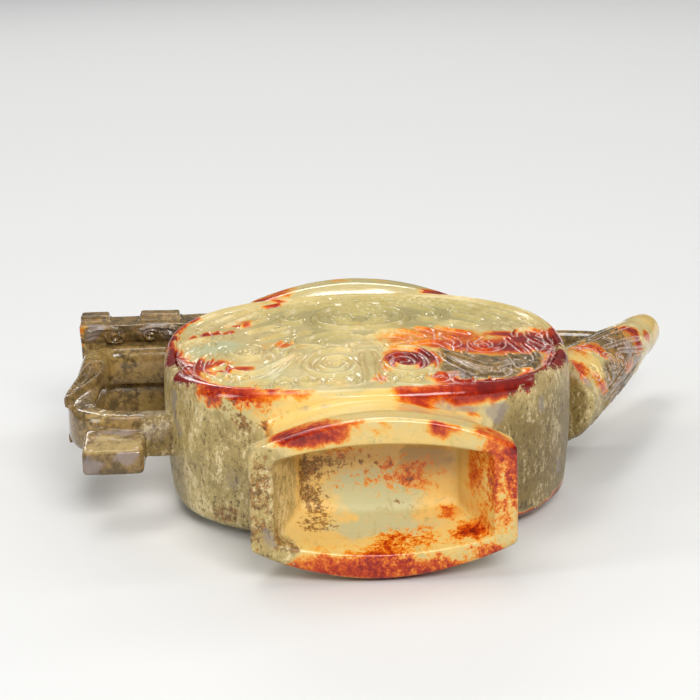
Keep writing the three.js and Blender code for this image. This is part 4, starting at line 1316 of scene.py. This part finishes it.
def jadeStone():
    nodes = StoneNodes("jadeStone")
    plus, times, around, ramp, mix = nodes.plus, nodes.times, nodes.around, nodes.ramp, nodes.mix
    where = nodes.add("ShaderNodeTexCoord").outputs["Object"]
    layers = [nodes.noise(where, *numbers) for numbers in patterns.values()]
    broad, cloud, veins, fine, speck, flecks, patch = layers

    # How strong a painted stain is, made uneven by patterns.
    def stain(name, *uneven):
        return plus(nodes.attribute(name), *uneven)

    # pale body colour with greener and warmer clouds and hair veins
    base = mix(ramp(broad, (0.38, 0.0), (0.62, 0.8)), stone["pale"], stone["green"])
    base = mix(ramp(cloud, (0.50, 0.0), (0.72, 0.7)), base, stone["ochre"])
    base = mix(ramp(stain("cream", around(cloud, 0.9)), (0.30, 0.0), (0.75, 0.9)), base, stone["cream"])
    base = mix(ramp(stain("mint", around(cloud, 1.0)), (0.30, 0.0), (0.64, 0.95)), base, stone["mint"])
    base = mix(ramp(stain("olive", around(cloud, 1.2)), (0.30, 0.0), (0.80, 0.85)), base, stone["olive"])
    base = mix(ramp(veins, (0.32, 0.7), (0.45, 0.0)), base, stone["olive"])
    base = mix(ramp(veins, (0.60, 0.0), (0.74, 0.5)), base, stone["crustPale"])

    # smoke: dark brown clouds, lighter ones and tan patches, and golden tan on top; along the right wall the
    # smoke is painted shade, and in the foot's recess the golden tan is painted shade
    smokeAndShade = ramp(plus(cloud, around(fine, 0.7)), (0.38, 0.0), (0.58, 1.0))
    smokeAndShade = mix(smokeAndShade, stone["smokeDark"], stone["smokeLight"])
    smokeAndShade = mix(ramp(plus(broad, around(fine, 0.9)), (0.52, 0.0), (0.66, 0.75)), smokeAndShade, stone["tan"])
    soft = plus(around(cloud, 0.5), around(fine, 0.35))
    smokeAndShadeShare = ramp(stain("smokeAndShade", soft), (0.30, 0.0), (0.62, 0.94))
    base = mix(smokeAndShadeShare, base, smokeAndShade)
    goldTanAndShade = stain("tan", around(cloud, 1.0), around(fine, 0.6))
    base = mix(ramp(goldTanAndShade, (0.36, 0.0), (0.66, 0.8)), base, stone["goldTanAndShade"])

    # iron stain, in grains where the stone is worn
    grains = plus(around(fine, 1.7), around(speck, 1.0))
    ragged = times(grains, plus(times(nodes.attribute("grain"), 0.7), 0.22))
    iron = stain("iron", soft, ragged)
    ironShare = ramp(iron, (0.12, 0.0), (0.34, 0.85), (0.48, 1.0))
    base = mix(ironShare, base, ramp(iron, *ironColors))

    # crusted skin: golden olive with pale flecks, a few dark ones, darker where there is smoke, and on the
    # right wall darker as painted shade
    crust = ramp(plus(patch, around(fine, 1.0)), (0.30, 0.0), (0.70, 1.0))
    crust = mix(crust, stone["crustMiddle"], stone["crustLight"])
    crust = mix(ramp(broad, (0.48, 0.0), (0.64, 0.35)), crust, stone["crustDeep"])
    smokeAndShadeOnCrust = times(nodes.attribute("smokeAndShade"), 0.85)
    crust = mix(smokeAndShadeOnCrust, crust, stone["crustDeep"])
    paleFlecks = ramp(plus(flecks, around(patch, 0.7), around(speck, 0.4)), (0.57, 0.0), (0.63, 0.85))
    paleFlecks = times(paleFlecks, nodes.math("SUBTRACT", 1.0, times(smokeAndShadeOnCrust, 0.5)))
    crust = mix(paleFlecks, crust, stone["crustPale"])
    darkFlecks = ramp(plus(flecks, around(speck, 0.6)), (0.37, 0.85), (0.43, 0.0))
    crust = mix(darkFlecks, crust, stone["crustDark"])
    crustShare = ramp(stain("crust", times(grains, 0.55), around(cloud, 0.7)), (0.40, 0.0), (0.54, 0.94))
    base = mix(crustShare, base, crust)

    # brown grains, and a painted greyish lilac reflection over them
    brown = mix(ramp(speck, (0.45, 0.0), (0.56, 1.0)), stone["brownDark"], stone["brownLight"])
    base = mix(ramp(stain("brown", around(cloud, 0.8), grains), (0.50, 0.0), (0.64, 0.9)), base, brown)
    sheenShare = stain("paintedSheen", around(cloud, 1.0), around(fine, 0.5))
    base = mix(ramp(sheenShare, (0.36, 0.0), (0.70, 0.66)), base, stone["paintedSheen"])

    # the cut lines: pale chalk with a painted highlight where the stone is dark, brownish painted shade where
    # it is pale
    line = ramp(nodes.attribute("cutLine"), (0.25, 0.0), (0.7, 1.0))
    dark = nodes.math("MAXIMUM", ironShare, smokeAndShadeShare)
    lineMarkShare = times(times(line, plus(times(dark, 0.32), 0.48)), ramp(fine, (0.36, 0.2), (0.52, 1.0)))
    base = mix(lineMarkShare, base, mix(dark, stone["lineShadeOnPale"], stone["chalkAndHighlightOnDark"]))

    sockets = nodes.shader.inputs
    nodes.feed(sockets["Base Color"], base)
    rough = plus(times(crustShare, polish["roughCrust"]), times(fine, polish["roughFine"]),
                 times(nodes.attribute("dull"), polish["roughDull"]), polish["roughness"])
    nodes.feed(sockets["Roughness"], rough)
    sockets["IOR"].default_value = polish["refraction"]
    sockets["Subsurface Weight"].default_value = polish["scatter"]
    sockets["Subsurface Radius"].default_value = polish["scatterColor"]
    sockets["Subsurface Scale"].default_value = polish["scatterReach"]
    bump = nodes.add("ShaderNodeBump")
    bump.inputs["Strength"].default_value = polish["bump"]
    bump.inputs["Distance"].default_value = polish["bumpHeight"]
    height = plus(times(fine, polish["bumpFine"]), times(speck, polish["bumpSpeck"]),
                  times(times(flecks, crustShare), polish["bumpCrust"]))
    nodes.feed(bump.inputs["Height"], height)
    nodes.feed(sockets["Normal"], bump.outputs[0])
    return nodes.material


print("stone")
jade = jadeStone()
pieces = {
    wall: ("olive_jade", ["body_wall"]),
    frontFace: ("celadon_jade", ["front_panel"]),
    backFace: ("celadon_jade", ["back_panel"]),
    footPiece: ("russet_jade", ["foot_neck", "foot_lip"]),
    mouthPiece: ("celadon_jade", ["mouth_neck", "mouth_lip"]),
    spoutPiece: ("russet_jade", ["spout_tube", "spout_lip"]),
    strapPiece: ("olive_jade", ["spout_bridge"]),
    handlePiece: ("smoky_jade", [
        "handle_grip", "handle_upper_arm", "handle_lower_arm", "handle_crest", "handle_tail", "handle_heel",
        "crest_hook_outer_front", "crest_hook_inner_front", "crest_hook_outer_back", "crest_hook_inner_back",
        "handle_curl_front", "handle_curl_back"]),
}
finish = {
    "faceEvenness": 0.4,        # the carved faces are ground more evenly than the rest
    "smoothBelow": 50,          # degrees between faces that are shaded as one surface
}
for piece, (slot, nodes) in pieces.items():
    isFace = piece in (frontFace, backFace)
    workByHand(piece, finish["faceEvenness"] if isFace else 1.0)
    paintStone(piece, ("smokeAndShade",) if piece is handlePiece else ())
    if not isFace:
        pitCrust(piece)
    pickOnly(piece)
    bpy.ops.object.shade_smooth_by_angle(angle=math.radians(finish["smoothBelow"]))
    piece.data.materials.clear()
    piece.data.materials.append(jade)
    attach(piece, "root")
    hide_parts(*nodes)
    print(piece.name, len(piece.data.polygons), "faces")

stage = {
    "floorSize": 6,
    "floorRoughness": 0.7,
    "floorColor": (0.82, 0.82, 0.81),
    "floorBounce": 0.42,        # how much light the floor throws back on the ewer
    "worldColor": (0.94, 0.97, 1.0),
    "worldLow": 0.07,           # strength of the world near the horizon
    "worldHigh": 0.40,          # and overhead
    "worldFrom": 0.05,          # heights of the sky between which it grows
    "worldTo": 0.8,
    "lampAim": (0, 0, 0.02),
    "lamps": [
        # place in metres from the origin, size in metres, watts, colour
        ((-0.35, 0.25, 1.70), (1.40, 0.50), 7.5, (1.0, 0.98, 0.95)),
        ((-0.20, 1.60, 0.95), (1.40, 0.12), 6.0, (1.0, 0.99, 0.97)),
        ((0.35, -1.45, 1.05), (0.90, 0.60), 23.0, (1.0, 0.98, 0.96)),
        ((-1.60, -0.50, 0.70), (0.50, 0.90), 8.5, (0.98, 0.99, 1.0)),
        ((1.50, 0.70, 0.80), (0.50, 0.90), 4.5, (1.0, 0.98, 0.96)),
    ],
    "cameraPlace": (-0.03714, -0.61219, 0.20147),
    "cameraTurn": (75.3257, 1.2901, -2.7064),
    "lens": 108.32,
}


def makeStage():
    pickNothing()
    bpy.ops.mesh.primitive_plane_add(size=stage["floorSize"])
    floor = bpy.context.object
    floor.name = "floor"
    floorMaterial = bpy.data.materials.new("paleFloor")
    floorMaterial.use_nodes = True
    shader = floorMaterial.node_tree.nodes["Principled BSDF"]
    shader.inputs["Roughness"].default_value = stage["floorRoughness"]
    tree = floorMaterial.node_tree
    # the camera and reflections see the pale floor, and the ewer gets less light back from it
    rays = tree.nodes.new("ShaderNodeLightPath")
    seen = rays.outputs["Is Camera Ray"]
    for kind in ("Is Glossy Ray", "Is Transmission Ray"):
        either = tree.nodes.new("ShaderNodeMath")
        either.operation = "MAXIMUM"
        tree.links.new(seen, either.inputs[0])
        tree.links.new(rays.outputs[kind], either.inputs[1])
        seen = either.outputs[0]
    color = tree.nodes.new("ShaderNodeMix")
    color.data_type = "RGBA"
    color.inputs[6].default_value = (*[stage["floorBounce"]] * 3, 1)
    color.inputs[7].default_value = (*stage["floorColor"], 1)
    tree.links.new(seen, color.inputs[0])
    tree.links.new(color.outputs[2], shader.inputs["Base Color"])
    floor.data.materials.append(floorMaterial)

    world = bpy.data.worlds.new("studio")
    bpy.context.scene.world = world
    world.use_nodes = True
    nodes, links = world.node_tree.nodes, world.node_tree.links
    light = nodes["Background"]
    light.inputs["Color"].default_value = (*stage["worldColor"], 1)
    direction = nodes.new("ShaderNodeTexCoord")
    split = nodes.new("ShaderNodeSeparateXYZ")
    level = nodes.new("ShaderNodeMapRange")
    level.inputs["From Min"].default_value = stage["worldFrom"]
    level.inputs["From Max"].default_value = stage["worldTo"]
    level.inputs["To Min"].default_value = stage["worldLow"]
    level.inputs["To Max"].default_value = stage["worldHigh"]
    links.new(direction.outputs["Generated"], split.inputs[0])
    links.new(split.outputs["Z"], level.inputs["Value"])
    links.new(level.outputs[0], light.inputs["Strength"])

    for number, (spot, size, watts, color) in enumerate(stage["lamps"]):
        pickNothing()
        bpy.ops.object.light_add(type="AREA", location=spot)
        lamp = bpy.context.object
        lamp.name = f"softbox{number}"
        lamp.data.shape = "RECTANGLE"
        lamp.data.size, lamp.data.size_y = size
        lamp.data.energy = watts
        lamp.data.color = color
        aim = Vector(stage["lampAim"]) - Vector(spot)
        lamp.rotation_euler = aim.to_track_quat("-Z", "Y").to_euler()

    camera = bpy.data.cameras.new("camera")
    camera.lens = stage["lens"]
    camera.sensor_width = 36
    cameraObject = bpy.data.objects.new("camera", camera)
    bpy.context.scene.collection.objects.link(cameraObject)
    cameraObject.location = stage["cameraPlace"]
    cameraObject.rotation_euler = [math.radians(turn) for turn in stage["cameraTurn"]]
    bpy.context.scene.camera = cameraObject
    bpy.context.scene.view_settings.view_transform = "Standard"


print("stage")
makeStage()
